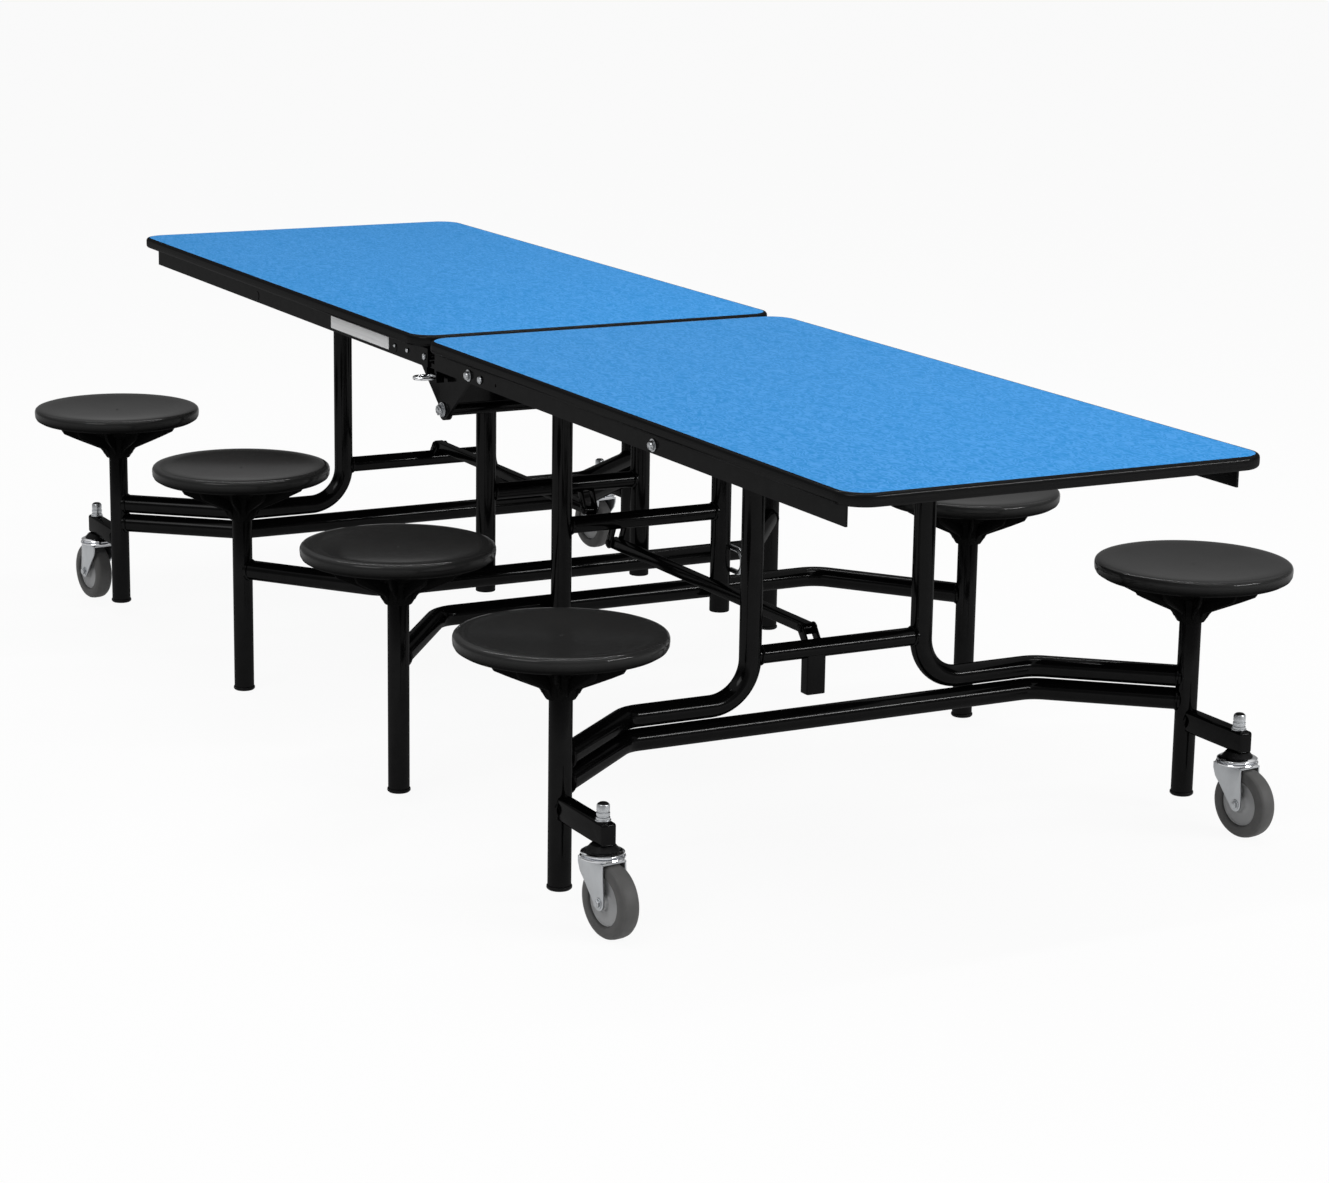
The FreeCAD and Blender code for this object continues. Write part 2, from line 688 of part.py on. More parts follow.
def seat(x, y):
    """Dished disc with a rolled rim, a ribbed underside and a bored hub."""
    top = seat_top_z
    rim = seat_rim_height
    edge = seat_radius
    underside_z = top - rim - 6.0
    pan_z = top - seat_pan_depth
    arc = Part.Arc(V(edge - 16.0, 0, top), V(edge - 4.0, 0, top - 4.5), V(edge, 0, top - 14.0))
    low = Part.Arc(V(edge, 0, top - rim + 3.0), V(edge - 3.0, 0, top - rim - 3.0),
                   V(edge - 12.0, 0, underside_z))
    dish = Part.Arc(V(0, 0, top - seat_dish), V((edge - 16.0) / 2, 0, top - seat_dish * 0.78),
                    V(edge - 16.0, 0, top))
    lower = [V(edge - 12.0, 0, underside_z), V(edge * 0.56, 0, pan_z), V(edge * 0.3, 0, pan_z - 6.0),
             V(seat_hub_radius, 0, pan_z - 14.0), V(seat_hub_radius - 3.0, 0, seat_hub_z),
             V(0, 0, seat_hub_z)]
    edges = [dish.toShape(), arc.toShape(), Part.makeLine(V(edge, 0, top - 14.0),
                                                          V(edge, 0, top - rim + 3.0)),
             low.toShape()]
    edges += [Part.makeLine(a, b) for a, b in zip(lower, lower[1:])]
    edges.append(Part.makeLine(lower[-1], V(0, 0, top - seat_dish)))
    disc = Part.Face(Part.Wire(edges)).revolve(V(0, 0, 0), V(0, 0, 1), 360)
    disc = disc.cut(seat_hollow(top, underside_z, pan_z))
    rib_points = [(seat_hub_radius - 8.0, pan_z - 4.0), (seat_hub_radius - 8.0, seat_hub_z + 8.0),
                  (seat_hub_radius + 8.0, seat_hub_z + 8.0), (edge * 0.5, pan_z - 8.0),
                  (edge * 0.62, pan_z - 1.0), (edge * 0.62, pan_z + 8.0),
                  (edge * 0.3, pan_z + 3.0)]
    for index in range(seat_rib_count):
        rib = profile_plate(rib_points, seat_rib_sheet, -seat_rib_sheet / 2)
        rib.rotate(V(0, 0, 0), V(0, 0, 1), 360.0 * index / seat_rib_count)
        disc = disc.fuse(rib)
    bore = spindle_radius + running_clearance
    disc = disc.removeSplitter().cut(
        cylinder_z(bore, 0, 0, seat_hub_z - 1.0, post_top + spindle_length + face_clearance))
    disc.translate(V(x, y, 0))
    return disc


# ---------------------------------------------------------------- small parts
def latch_handle():
    """U-shaped rod that reaches out under the rail, with a pivot barrel at its inner end."""
    y_pin = latch_inset - rail_face
    y_loop = -rail_face - latch_reach + latch_rod_radius
    bend = latch_width / 2 - 0.5
    x0 = latch_x - latch_width / 2
    x1 = latch_x + latch_width / 2
    points = [V(x0, y_pin, latch_z), V(x0, y_loop, latch_z), V(x1, y_loop, latch_z),
              V(x1, y_pin, latch_z)]
    rod = swept(bent_path(points, [bend, bend]), points, latch_rod_radius)
    start = V(x0 - latch_barrel_over, y_pin, latch_z)
    length = latch_width + 2 * latch_barrel_over
    barrel = cylinder(latch_barrel_radius, start, V(1, 0, 0), length)
    bore = cylinder(latch_pin_radius + running_clearance, start, V(1, 0, 0), length)
    return rod.fuse(barrel).removeSplitter().cut(bore)


def latch_bracket():
    """Pin of the latch handle, its two cheeks, and the foot that holds them to the rail's web."""
    y_pin = latch_inset - rail_face
    half_gap = latch_width / 2 + latch_barrel_over + face_clearance
    x0 = latch_x - half_gap - latch_cheek
    x1 = latch_x + half_gap + latch_cheek
    y0 = rail_sheet - rail_face
    y1 = y_pin + latch_cheek_reach
    top = rail_bottom + latch_foot_height
    pin = cylinder(latch_pin_radius, V(x0, y_pin, latch_z), V(1, 0, 0), x1 - x0)
    body = box(x0 - latch_foot_length, x1, y0, y0 + latch_cheek, rail_bottom, top)
    for x in (x0, x1 - latch_cheek):
        body = body.fuse(box(x, x + latch_cheek, y0, y1, latch_z - latch_cheek_reach, top))
    return [pin, body.removeSplitter().cut(pin)]


def label_plate():
    middle_z = rail_bottom + rail_rivet_height
    return box(label_centre_x - label_length / 2, label_centre_x + label_length / 2,
               -rail_face - label_sheet, -rail_face,
               middle_z - label_height / 2, middle_z + label_height / 2)


def lock_hook():
    """Bent rod on the inner frame's right leg that holds the folded halves together."""
    y = leg_y + tube_radius + hook_rod_radius
    z = inner_tube_z + 62.0
    points = [V(inner_leg_x, y, z + hook_radius), V(inner_leg_x + 2 * hook_radius, y, z + hook_radius),
              V(inner_leg_x + 2 * hook_radius, y, z - hook_radius),
              V(inner_leg_x, y, z - hook_radius)]
    return swept(bent_path(points, [hook_radius * 0.95] * 2), points, hook_rod_radius)


# ---------------------------------------------------------------- all sub-parts
def halves(name, build):
    shape = build()
    return {"near_" + name: shape, "far_" + name: other_half(shape)}


def caster_nodes():
    nodes = {}
    for name, side in sides:
        for piece, build in (("fork", caster_fork), ("wheel_hub", wheel_hub), ("tyre", tyre)):
            shape = build(side)
            nodes["near_%s_%s" % (name, piece)] = shape
            nodes["far_%s_%s" % ("right" if name == "left" else "left", piece)] = other_half(shape)
    return nodes


def seat_nodes():
    nodes = {}
    for place, x, y in (("outer", outer_stool_x, outer_stool_y),
                        ("inner", inner_stool_x, inner_stool_y)):
        for name, side in sides:
            shape = seat(x, side * y)
            nodes["near_%s_%s_seat" % (name, place)] = shape
            far_name = "right" if name == "left" else "left"
            nodes["far_%s_%s_seat" % (far_name, place)] = other_half(shape)
    return nodes


def all_nodes():
    nodes = {}
    nodes.update(halves("top_laminate", top_laminate))
    nodes.update(halves("top_panel", top_panel))
    nodes.update(halves("top_edge_band", top_edge_band))
    nodes.update(halves("side_rails", side_rails))
    nodes.update(halves("cross_channels", cross_channels))
    nodes.update(halves("hinge_plates", hinge_plates))
    nodes.update(halves("pivot_axles", pivot_axles))
    nodes["far_hinge_plates"] = group(nodes["far_hinge_plates"].Solids + latch_bracket())
    nodes["hinge_axle"] = hinge_axle()
    nodes["latch_handle"] = latch_handle()
    nodes["label_plate"] = label_plate()
    nodes.update(halves("outer_leg_tubes", lambda: group([outer_leg(-1), outer_leg(1)])))
    nodes.update(halves("outer_cross_tubes", outer_cross_tubes))
    nodes["near_outer_cross_tubes"] = group(nodes["near_outer_cross_tubes"].Solids + [stop_stub()])
    nodes.update(halves("outer_stool_posts", lambda: stool_posts(
        outer_stool_x, outer_stool_y, outer_post_foot_z)))
    nodes.update(halves("outer_post_caps", lambda: post_feet(
        outer_stool_x, outer_stool_y, outer_post_foot_z)))
    nodes.update(halves("caster_arms", lambda: group([caster_arm(-1), caster_arm(1)])))
    nodes.update(halves("caster_stems", lambda: group(caster_stem(-1) + caster_stem(1))))
    nodes.update(halves("inner_leg_tubes", inner_legs))
    nodes.update(halves("inner_cross_tubes", inner_cross_tubes))
    nodes.update(halves("inner_stool_posts", lambda: stool_posts(
        inner_stool_x, inner_stool_y, 0.0)))
    nodes.update(halves("inner_post_feet", lambda: post_feet(
        inner_stool_x, inner_stool_y, 0.0)))
    nodes.update(halves("drag_link", drag_link))
    nodes["lock_hook"] = lock_hook()
    nodes.update(caster_nodes())
    nodes.update(seat_nodes())
    return nodes


os.makedirs("parts", exist_ok=True)
for node_name, node_shape in all_nodes().items():
    for solid in node_shape.Solids:
        if not solid.isValid():
            print("invalid solid in", node_name)
    node_shape.exportStep("parts/" + node_name + ".step")
    box_all = node_shape.BoundBox
    print("%-26s solids %2d  volume %10.0f  x %7.1f %7.1f  y %7.1f %7.1f  z %6.1f %6.1f" % (
        node_name, len(node_shape.Solids), node_shape.Volume, box_all.XMin, box_all.XMax,
        box_all.YMin, box_all.YMax, box_all.ZMin, box_all.ZMax))
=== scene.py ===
import json
import math
import bmesh
import bpy
from mathutils import Matrix, Vector


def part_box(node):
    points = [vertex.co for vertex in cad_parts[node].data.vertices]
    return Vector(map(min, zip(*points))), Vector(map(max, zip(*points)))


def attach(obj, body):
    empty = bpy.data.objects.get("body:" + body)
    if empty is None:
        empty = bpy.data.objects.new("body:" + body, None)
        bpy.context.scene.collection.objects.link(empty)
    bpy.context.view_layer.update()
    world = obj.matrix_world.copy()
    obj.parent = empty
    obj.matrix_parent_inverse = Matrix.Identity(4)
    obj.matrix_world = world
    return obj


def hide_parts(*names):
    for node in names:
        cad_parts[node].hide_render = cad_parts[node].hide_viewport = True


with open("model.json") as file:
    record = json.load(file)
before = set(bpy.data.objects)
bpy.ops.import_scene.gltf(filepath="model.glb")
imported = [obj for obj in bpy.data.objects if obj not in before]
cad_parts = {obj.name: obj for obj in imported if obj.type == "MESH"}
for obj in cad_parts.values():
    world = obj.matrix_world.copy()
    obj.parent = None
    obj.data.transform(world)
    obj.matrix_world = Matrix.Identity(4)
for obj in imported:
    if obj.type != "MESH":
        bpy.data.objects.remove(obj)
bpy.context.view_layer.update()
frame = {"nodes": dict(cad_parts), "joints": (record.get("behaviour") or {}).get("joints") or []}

bl_info = {
    "name": "Folding stool table",
    "version": (1, 0, 0),
    "blender": (4, 5, 0),
    "location": "View3D > Sidebar > Stool Table",
    "description": "Dresses a folding table with attached swivel seats, piece by piece",
    "category": "Object",
}

FULL_TURN = 2 * math.pi


def mm(value):
    return value / 1000.0


def in_mm(*points):
    """Points given in millimetres, as metres."""
    return [tuple(mm(value) for value in point) for point in points]


# ---- places
# In metres. A half's places are the near half's; the far half is that one turned half a turn.
HALVES = ("near", "far")
SIDES = ("left", "right")
KINDS = ("outer", "inner")
LEG_X = {"outer": 0.880, "inner": 0.166}
BAR_Z = {"outer": 0.320, "inner": 0.398}
STOOL_XY = {"outer": (1.055, 0.606), "inner": (0.378, 0.588)}
LEG_Y = 0.168
LEG_TOP = 0.7035
ARM_Z = 0.241
LOWER_TUBE_Z = 0.200
LEG_END = 0.203
AXLE_Z = 0.692
HINGE_Z = 0.600
LINK_PIN_INSET = 0.024
LINK_PIN_Y = -0.045
LINK_PIN_Z = 0.350
PLAIN_BOLT_X = 0.216
RAIL_RIVET_X = 0.108
RAIL_NUT_X = 0.030
RIVET_RISE = mm(18)
STEM_X = 1.205
TRAIL = mm(22)
WHEEL_Z = mm(60)
LATCH_Z = 0.661
LATCH_PIN_Y = -0.345
LATCH_LOOP_Y = -0.3854
LATCH_RODS_X = (-0.0225, 0.0045)
# Where pieces meet a post or a leg, in tube radii from its axis.
ARM_START = 0.55
ARM_WELD = 0.90
WELD_AT_WALL = 0.93


# ---- sizes and colours
def length(name, description, value):
    return bpy.props.FloatProperty(name=name, description=description, default=value,
                                   min=0.0, precision=4, subtype="DISTANCE", unit="LENGTH")


def colour(name, description, value):
    return bpy.props.FloatVectorProperty(name=name, description=description, default=value,
                                         min=0.0, max=1.0, size=3, subtype="COLOR")


class StoolTableSizes(bpy.types.PropertyGroup):
    """Sizes of the pieces that are modelled here; the rest come from the frame"""
    corner_radius: length("Corner radius", "Plan radius of each corner of the tops", 0.050)
    edge_width: length("Edge width", "Width of the moulded edge seen from above", 0.007)
    edge_round: length("Edge rounding", "Rounding of the moulded edge", 0.0065)
    tube: length("Tube radius", "Radius of legs, arms and posts", 0.01905)
    crossbar: length("Crossbar radius", "Radius of the thin crossbars", 0.0159)
    leg_bend: length("Leg bend", "Centre-line radius of the J bends", 0.075)
    arm_bend: length("Arm bend", "Centre-line radius where arms turn out", 0.060)
    knee_y: length("Arm knee", "Distance from the middle to the arm bends", 0.400)
    weld: length("Weld bead", "Radius of the weld beads", 0.0028)
    seat_dish: length("Seat dish", "Depth of the hollow in each seat", 0.0055)
    seat_rim: length("Seat rim", "Height of the rolled rim", 0.022)
    rib: length("Rib", "Thickness of the ribs under a seat", 0.005)
    floor: length("Floor", "Half length of the studio floor", 60.0)


class StoolTableColours(bpy.types.PropertyGroup):
    """Colours of the finishes, as linear light"""
    laminate: colour("Laminate", "Blue table laminate", (0.0115, 0.270, 0.690))
    edge: colour("Edge", "Moulded edge of the tops", (0.0045, 0.0045, 0.0046))
    backer: colour("Backer", "Underside sheet of the tops", (0.030, 0.026, 0.023))
    coat: colour("Powder coat", "Black coat of the frames", (0.0014, 0.0014, 0.0015))
    seat: colour("Seat", "Moulded seats", (0.0200, 0.0200, 0.0199))
    cap: colour("Caps", "Plastic feet and bushings", (0.0045, 0.0045, 0.0047))
    tyre: colour("Tyre", "Grey rubber of the casters", (0.083, 0.082, 0.081))
    hub: colour("Hub", "Grey disc of the casters", (0.335, 0.338, 0.343))
    zinc: colour("Zinc", "Plated bolts and forks", (0.485, 0.50, 0.515))
    chrome: colour("Chrome", "Polished latch and races", (0.80, 0.81, 0.83))
    label: colour("Label", "Blank film on the rail", (0.93, 0.935, 0.94))


def sizes():
    return bpy.context.scene.stool_table_sizes


# ---- shader maths
class Term:
    """A shader value that takes Python's signs; each sign adds one Math node."""

    def __init__(self, nodes, socket):
        self.nodes = nodes
        self.socket = socket

    def _maths(self, operation, first, second):
        return self.nodes.node("ShaderNodeMath", {"operation": operation}, {0: first, 1: second})

    def __add__(self, other):
        return self._maths("ADD", self, other)

    def __radd__(self, other):
        return self._maths("ADD", other, self)

    def __sub__(self, other):
        return self._maths("SUBTRACT", self, other)

    def __rsub__(self, other):
        return self._maths("SUBTRACT", other, self)

    def __mul__(self, other):
        return self._maths("MULTIPLY", self, other)

    def __rmul__(self, other):
        return self._maths("MULTIPLY", other, self)

    def at_least(self, other):
        return self._maths("MAXIMUM", self, other)

    def folded(self, span):
        return self._maths("PINGPONG", self, span)


class Nodes:
    """A cleared node tree of a material or the world, and its output node."""

    def __init__(self, owner, output="ShaderNodeOutputMaterial"):
        owner.use_nodes = True
        self.tree = owner.node_tree
        self.tree.nodes.clear()
        self.out = self.tree.nodes.new(output)

    def node(self, kind, settings=None, inputs=None, output=0):
        """Adds a node, sets it up, then fills or links its sockets."""
        made = self.tree.nodes.new(kind)
        for key, value in (settings or {}).items():
            if key == "stops":
                self._set_stops(made.color_ramp, value)
            else:
                setattr(made, key, value)
        for key, value in (inputs or {}).items():
            if isinstance(value, Term):
                self.tree.links.new(value.socket, made.inputs[key])
            else:
                made.inputs[key].default_value = value
        return Term(self, made.outputs[output])

    @staticmethod
    def _set_stops(ramp, stops):
        while len(ramp.elements) < len(stops):
            ramp.elements.new(0.5)
        for element, (place, grey) in zip(ramp.elements, stops):
            element.position = place
            element.color = (grey, grey, grey, 1.0)

    def ramp(self, value, *stops):
        """Grey stops, each a place and a level, read at a value."""
        return self.node("ShaderNodeValToRGB", {"stops": stops}, {"Fac": value})

    def close(self, term):
        """Links a shader to the tree's output."""
        self.tree.links.new(term.socket, self.out.inputs["Surface"])


class Finish(Nodes):
    """One material and the node tree that makes it."""

    def __init__(self, name):
        self.material = bpy.data.materials.new(name)
        super().__init__(self.material)
        self.where = self.node("ShaderNodeTexCoord", output="Object")

    def noise(self, scale, detail=3.0, rough=0.5, wander=0.0, squeeze=(1.0, 1.0, 1.0)):
        """Noise in the piece's own metres, made finer along an axis by a squeeze above 1."""
        where = self.node("ShaderNodeMapping", {}, {"Vector": self.where, "Scale": squeeze})
        return self.node("ShaderNodeTexNoise", {}, {"Vector": where, "Scale": scale,
                                                    "Detail": detail, "Roughness": rough,
                                                    "Distortion": wander})

    def pebbles(self, scale):
        return self.node("ShaderNodeTexVoronoi", {"feature": "SMOOTH_F1"},
                         {"Vector": self.where, "Scale": scale})

    def blend(self, factor, first, second):
        """Mixes two colours, given as triples or terms."""
        ends = [end if isinstance(end, Term) else (*end, 1.0) for end in (first, second)]
        return self.node("ShaderNodeMix", {"data_type": "RGBA"},
                         {0: factor, 6: ends[0], 7: ends[1]}, output=2)

    def tones(self, factor, base, first, second):
        """Mixes two shades of one colour."""
        return self.blend(factor, shade(base, first), shade(base, second))

    def bump(self, height, distance, strength):
        return self.node("ShaderNodeBump", {}, {"Height": height, "Distance": distance,
                                                "Strength": strength})

    def matte(self, tone):
        return self.node("ShaderNodeBsdfDiffuse", {}, {"Color": tone}, output="BSDF")

    def mixed(self, factor, first, second):
        """Mixes two shaders."""
        return self.node("ShaderNodeMixShader", {}, {0: factor, 1: first, 2: second},
                         output="Shader")

    def surface(self, tone, roughness, relief=None, painted_shade=None, **sockets):
        """Closes the tree with one principled surface, mixed where asked with a dark matte one
        as painted shade.
        """
        inputs = {key.replace("_", " "): value for key, value in sockets.items()}
        inputs.update({"Base Color": tone, "Roughness": roughness})
        if relief:
            inputs["Normal"] = relief
        made = self.node("ShaderNodeBsdfPrincipled", {}, inputs, output="BSDF")
        if painted_shade:
            factor, shadow = painted_shade
            made = self.mixed(factor, made, self.matte((*shadow, 1.0)))
        self.close(made)
        return self.material


def shade(base, factor):
    return tuple(min(channel * factor, 1.0) for channel in base)


def paler(base, amount):
    return tuple(channel + (1.0 - channel) * amount for channel in base)


# ---- the finishes
def laminate_finish(f, base):
    """Blue laminate pressed with short worm-like ridges, painted paler on the ridges and darker
    between them as painted highlight and shade, and a faint mottle.
    """
    broad = f.noise(scale=3.0, detail=2.0)
    fine = f.noise(scale=260.0, detail=2.0, rough=0.6)
    contours = f.noise(scale=70.0, detail=1.0, rough=0.4, wander=0.8, squeeze=(0.5, 1.0, 1.0))
    worms = (contours * 5.0).folded(0.5) * 2.0
    painted_ridge_light = f.ramp(worms, (0.2, 0.0), (0.8, 1.0))
    # Painted highlight and shade: the colour follows the pressed ridges, paler on them and
    # darker between them; the fine and broad noise is a random tone.
    tone = f.blend(painted_ridge_light * 0.82 + fine * 0.12 + broad * 0.06,
                   shade(base, 0.86), paler(shade(base, 1.06), 0.052))
    return f.surface(tone, 0.54 + fine * 0.14, f.bump(worms * 0.8 + fine * 0.2, mm(0.3), 0.35),
                     Specular_IOR_Level=0.12)


def coat_finish(f, base):
    """Black powder coat: a soft gloss with the finest orange peel."""
    peel = f.noise(scale=650.0, detail=2.0)
    drift = f.noise(scale=9.0, rough=0.6)
    dust = f.noise(scale=45.0, detail=4.0, rough=0.65)
    return f.surface(f.tones(drift * 0.5 + dust * 0.5, base, 0.7, 1.4), 0.40 + dust * 0.12,
                     f.bump(peel * 0.7 + dust * 0.3, mm(0.12), 0.30), Specular_IOR_Level=0.0,
                     Coat_Weight=0.09 + dust * 0.04, Coat_Roughness=0.13, Coat_IOR=1.8)


def edge_finish(f, base):
    """Satin moulded edge with faint lengthwise drag from its die."""
    drag = f.noise(scale=1.0, detail=2.0, squeeze=(9.0, 9.0, 900.0))
    grain = f.noise(scale=520.0, detail=2.0)
    return f.surface(f.tones(drag, base, 0.75, 1.35), 0.34 + grain * 0.12,
                     f.bump(grain * 0.6 + drag * 0.4, mm(0.12), 0.3), Specular_IOR_Level=0.0,
                     Coat_Weight=0.07 + drag * 0.05, Coat_Roughness=0.20, Coat_IOR=1.8)


def backer_finish(f, base):
    """Dark backer sheet under the tops, with a dull fibrous print."""
    fibre = f.noise(scale=1.0, detail=4.0, rough=0.6, squeeze=(14.0, 260.0, 260.0))
    speck = f.noise(scale=330.0, detail=2.0)
    return f.surface(f.tones(fibre * 0.7 + speck * 0.3, base, 0.6, 1.5), 0.62 + speck * 0.15,
                     f.bump(fibre, mm(0.15), 0.3), Specular_IOR_Level=0.15)


def seat_finish(f, base):
    """Charcoal moulded plastic, finely pressed, with painted shade that darkens it into a matte
    black below the rim and underneath.
    """
    shade_start_z, shade_fade_height = 0.410, 0.040
    press = f.pebbles(scale=620.0)
    grain = f.noise(scale=900.0, detail=2.0)
    cloud = f.noise(scale=14.0)
    height = f.node("ShaderNodeSeparateXYZ", {}, {"Vector": f.where}, output="Z")
    # Painted shade: a mask that grows from just below the rim downwards and mixes in a dark
    # matte copy of the seat's colour.
    painted_shade_mask = f.ramp((height - shade_start_z) * (1.0 / shade_fade_height), (0.40, 1.0), (0.76, 0.0))
    return f.surface(f.tones(cloud * 0.6 + grain * 0.4, base, 0.8, 1.2), 0.36 + grain * 0.10,
                     f.bump(press * 0.6 + grain * 0.4, mm(0.10), 0.30),
                     painted_shade=(painted_shade_mask * 0.94, shade(base, 0.20)), Specular_IOR_Level=0.0,
                     Coat_Weight=0.48 + cloud * 0.08, Coat_Roughness=0.12, Coat_IOR=1.38)


def cap_finish(f, base):
    """Dull black plastic of feet and bushings, lightly scuffed."""
    scuff = f.noise(scale=150.0, detail=4.0, rough=0.7)
    grain = f.noise(scale=800.0, detail=2.0)
    worn = f.ramp(scuff, (0.45, 0.0), (0.75, 1.0))
    return f.surface(f.tones(worn, base, 0.9, 2.2), 0.40 + scuff * 0.2,
                     f.bump(grain, mm(0.08), 0.3), Specular_IOR_Level=0.10)


def zinc_finish(f, base):
    """Zinc plate: a cool grey metal with a soft streaked haze."""
    streak = f.noise(scale=1.0, rough=0.6, squeeze=(900.0, 900.0, 60.0))
    haze = f.noise(scale=60.0)
    return f.surface(f.tones(haze * 0.6 + streak * 0.4, base, 0.82, 1.12),
                     0.24 + streak * 0.14 + haze * 0.06, f.bump(streak, mm(0.03), 0.25),
                     Metallic=1.0)


def chrome_finish(f, base):
    """Polished plate with a trace of handling haze."""
    haze = f.noise(scale=90.0, detail=4.0, rough=0.6)
    return f.surface(f.tones(haze, base, 0.92, 1.04), 0.07 + haze * 0.09, Metallic=1.0)


def tyre_finish(f, base):
    """Grey caster rubber with a dull skin and rolled-in dust."""
    dust = f.noise(scale=70.0, detail=4.0, rough=0.65)
    skin = f.noise(scale=700.0)
    return f.surface(f.tones(dust, base, 0.82, 1.22), 0.46 + dust * 0.16,
                     f.bump(skin * 0.6 + dust * 0.4, mm(0.15), 0.35), Specular_IOR_Level=0.30)


def hub_finish(f, base):
    """Grey moulded hub with the flow marks of its mould."""
    flow = f.noise(scale=38.0, rough=0.6)
    grain = f.noise(scale=850.0, detail=2.0)
    return f.surface(f.tones(flow, base, 0.85, 1.18), 0.30 + grain * 0.14,
                     f.bump(grain, mm(0.06), 0.3))


def label_finish(f, base):
    """Blank pale film with soft handling marks."""
    along = (0.15, 1.0, 9.0)
    mark = f.noise(scale=34.0, detail=4.0, rough=0.65, squeeze=along)
    grain = f.noise(scale=600.0, detail=2.0, squeeze=along)
    worn = f.ramp(mark, (0.42, 0.0), (0.78, 1.0))
    return f.surface(f.tones(worn, base, 1.0, 0.86), 0.34 + mark * 0.14,
                     f.bump(grain, mm(0.04), 0.2))


FINISHES = {
    "blue_laminate": (laminate_finish, "laminate"),
    "edge_band": (edge_finish, "edge"),
    "panel_core": (backer_finish, "backer"),
    "frame_black": (coat_finish, "coat"),
    "seat_black": (seat_finish, "seat"),
    "cap_black": (cap_finish, "cap"),
    "zinc": (zinc_finish, "zinc"),
    "chrome": (chrome_finish, "chrome"),
    "tyre_grey": (tyre_finish, "tyre"),
    "hub_grey": (hub_finish, "hub"),
    "label_white": (label_finish, "label"),
}


def finish(slot):
    """The material of a slot, made the first time that it is asked for."""
    found = bpy.data.materials.get(slot)
    if found and found.get("stool_table"):
        return found
    build, key = FINISHES[slot]
    made = build(Finish(slot), tuple(getattr(bpy.context.scene.stool_table_colours, key)))
    made["stool_table"] = True
    return made


def dress(node, slot):
    """Gives a node of the frame its finish."""
    mesh = frame["nodes"][node].data
    mesh.materials.clear()
    mesh.materials.append(finish(slot))


# ---- mesh helpers
def turned_to(axis, at):
    """A matrix that takes Z to an axis and the origin to a point."""
    matrix = Vector(axis).normalized().to_track_quat("Z", "Y").to_matrix().to_4x4()
    matrix.translation = Vector(at)
    return matrix


def across(way, x, y, z):
    """A matrix that takes Z to plus or minus Y and the origin to a place."""
    return turned_to((0, way, 0), (x, y, z))


def move(bm, matrix):
    bmesh.ops.transform(bm, matrix=matrix, verts=bm.verts)


def move_to_half(half, *meshes):
    """Turns shapes of the near half about Z to where their own half has them."""
    for bm in meshes:
        move(bm, Matrix.Rotation(math.pi if half == "far" else 0.0, 4, "Z"))


def join(bm, part, place=None):
    """Adds a small mesh to a bigger one, moved into place."""
    if place is not None:
        move(part, place)
    scratch = bpy.data.meshes.new("scratch")
    part.to_mesh(scratch)
    part.free()
    bm.from_mesh(scratch)
    bpy.data.meshes.remove(scratch)


def soften(bm, width, segments=2, angle=30.0, edges=None):
    """Rounds the edges given, or else every edge that turns by more than the angle."""
    if edges is None:
        limit = math.radians(angle)
        edges = [edge for edge in bm.edges
                 if len(edge.link_faces) == 2 and edge.calc_face_angle(0.0) > limit]
    bmesh.ops.bevel(bm, geom=edges, offset=width, segments=segments, profile=0.5,
                    affect="EDGES", material=-1, clamp_overlap=True)


def full_spin(bm, geom, steps):
    """Spins a profile once about Z and closes the shape."""
    bmesh.ops.spin(bm, geom=geom, cent=(0, 0, 0), axis=(0, 0, 1), dvec=(0, 0, 0),
                   angle=FULL_TURN, steps=steps, use_merge=True, use_duplicate=False)
    bmesh.ops.remove_doubles(bm, verts=bm.verts, dist=mm(0.005))


def spun(profile, steps):
    """A ring or a solid turned about Z from (radius, height) points."""
    bm = bmesh.new()
    verts = [bm.verts.new((radius, 0.0, height)) for radius, height in profile]
    edges = [bm.edges.new(pair) for pair in zip(verts, verts[1:])]
    full_spin(bm, verts + edges, steps)
    bmesh.ops.recalc_face_normals(bm, faces=bm.faces)
    return bm


def spun_ring(profile, steps):
    """A turned shape with a bore, its profile closed on itself."""
    return spun(list(profile) + [profile[0]], steps)


def rings_at(bm, radius, height):
    """The edges that run round at one radius and height of a turned shape."""
    within = mm(0.3)
    return [edge for edge in bm.edges
            if all(abs(math.hypot(vert.co.x, vert.co.y) - radius) < within
                   and abs(vert.co.z - height) < within for vert in edge.verts)]


def edges_along(bm, axis, shortest):
    """The edges that reach further than a length along X (0), Y (1) or Z (2)."""
    return [edge for edge in bm.edges
            if abs(edge.verts[0].co[axis] - edge.verts[1].co[axis]) > shortest]


def flat_rim(bm, height):
    """Edges that lie round the outside at one height."""
    return [edge for edge in bm.edges
            if all(abs(vert.co.z - height) < mm(0.01) for vert in edge.verts)
            and edge.calc_face_angle(0.0) > math.radians(60)]


def push(bm, edges, step):
    """Extrudes a loop of edges by a step and returns the new loop."""
    grown = bmesh.ops.extrude_edge_only(bm, edges=edges)["geom"]
    fresh = {item for item in grown if isinstance(item, bmesh.types.BMVert)}
    bmesh.ops.translate(bm, vec=step, verts=list(fresh))
    return [item for item in grown if isinstance(item, bmesh.types.BMEdge)
            and set(item.verts) <= fresh]


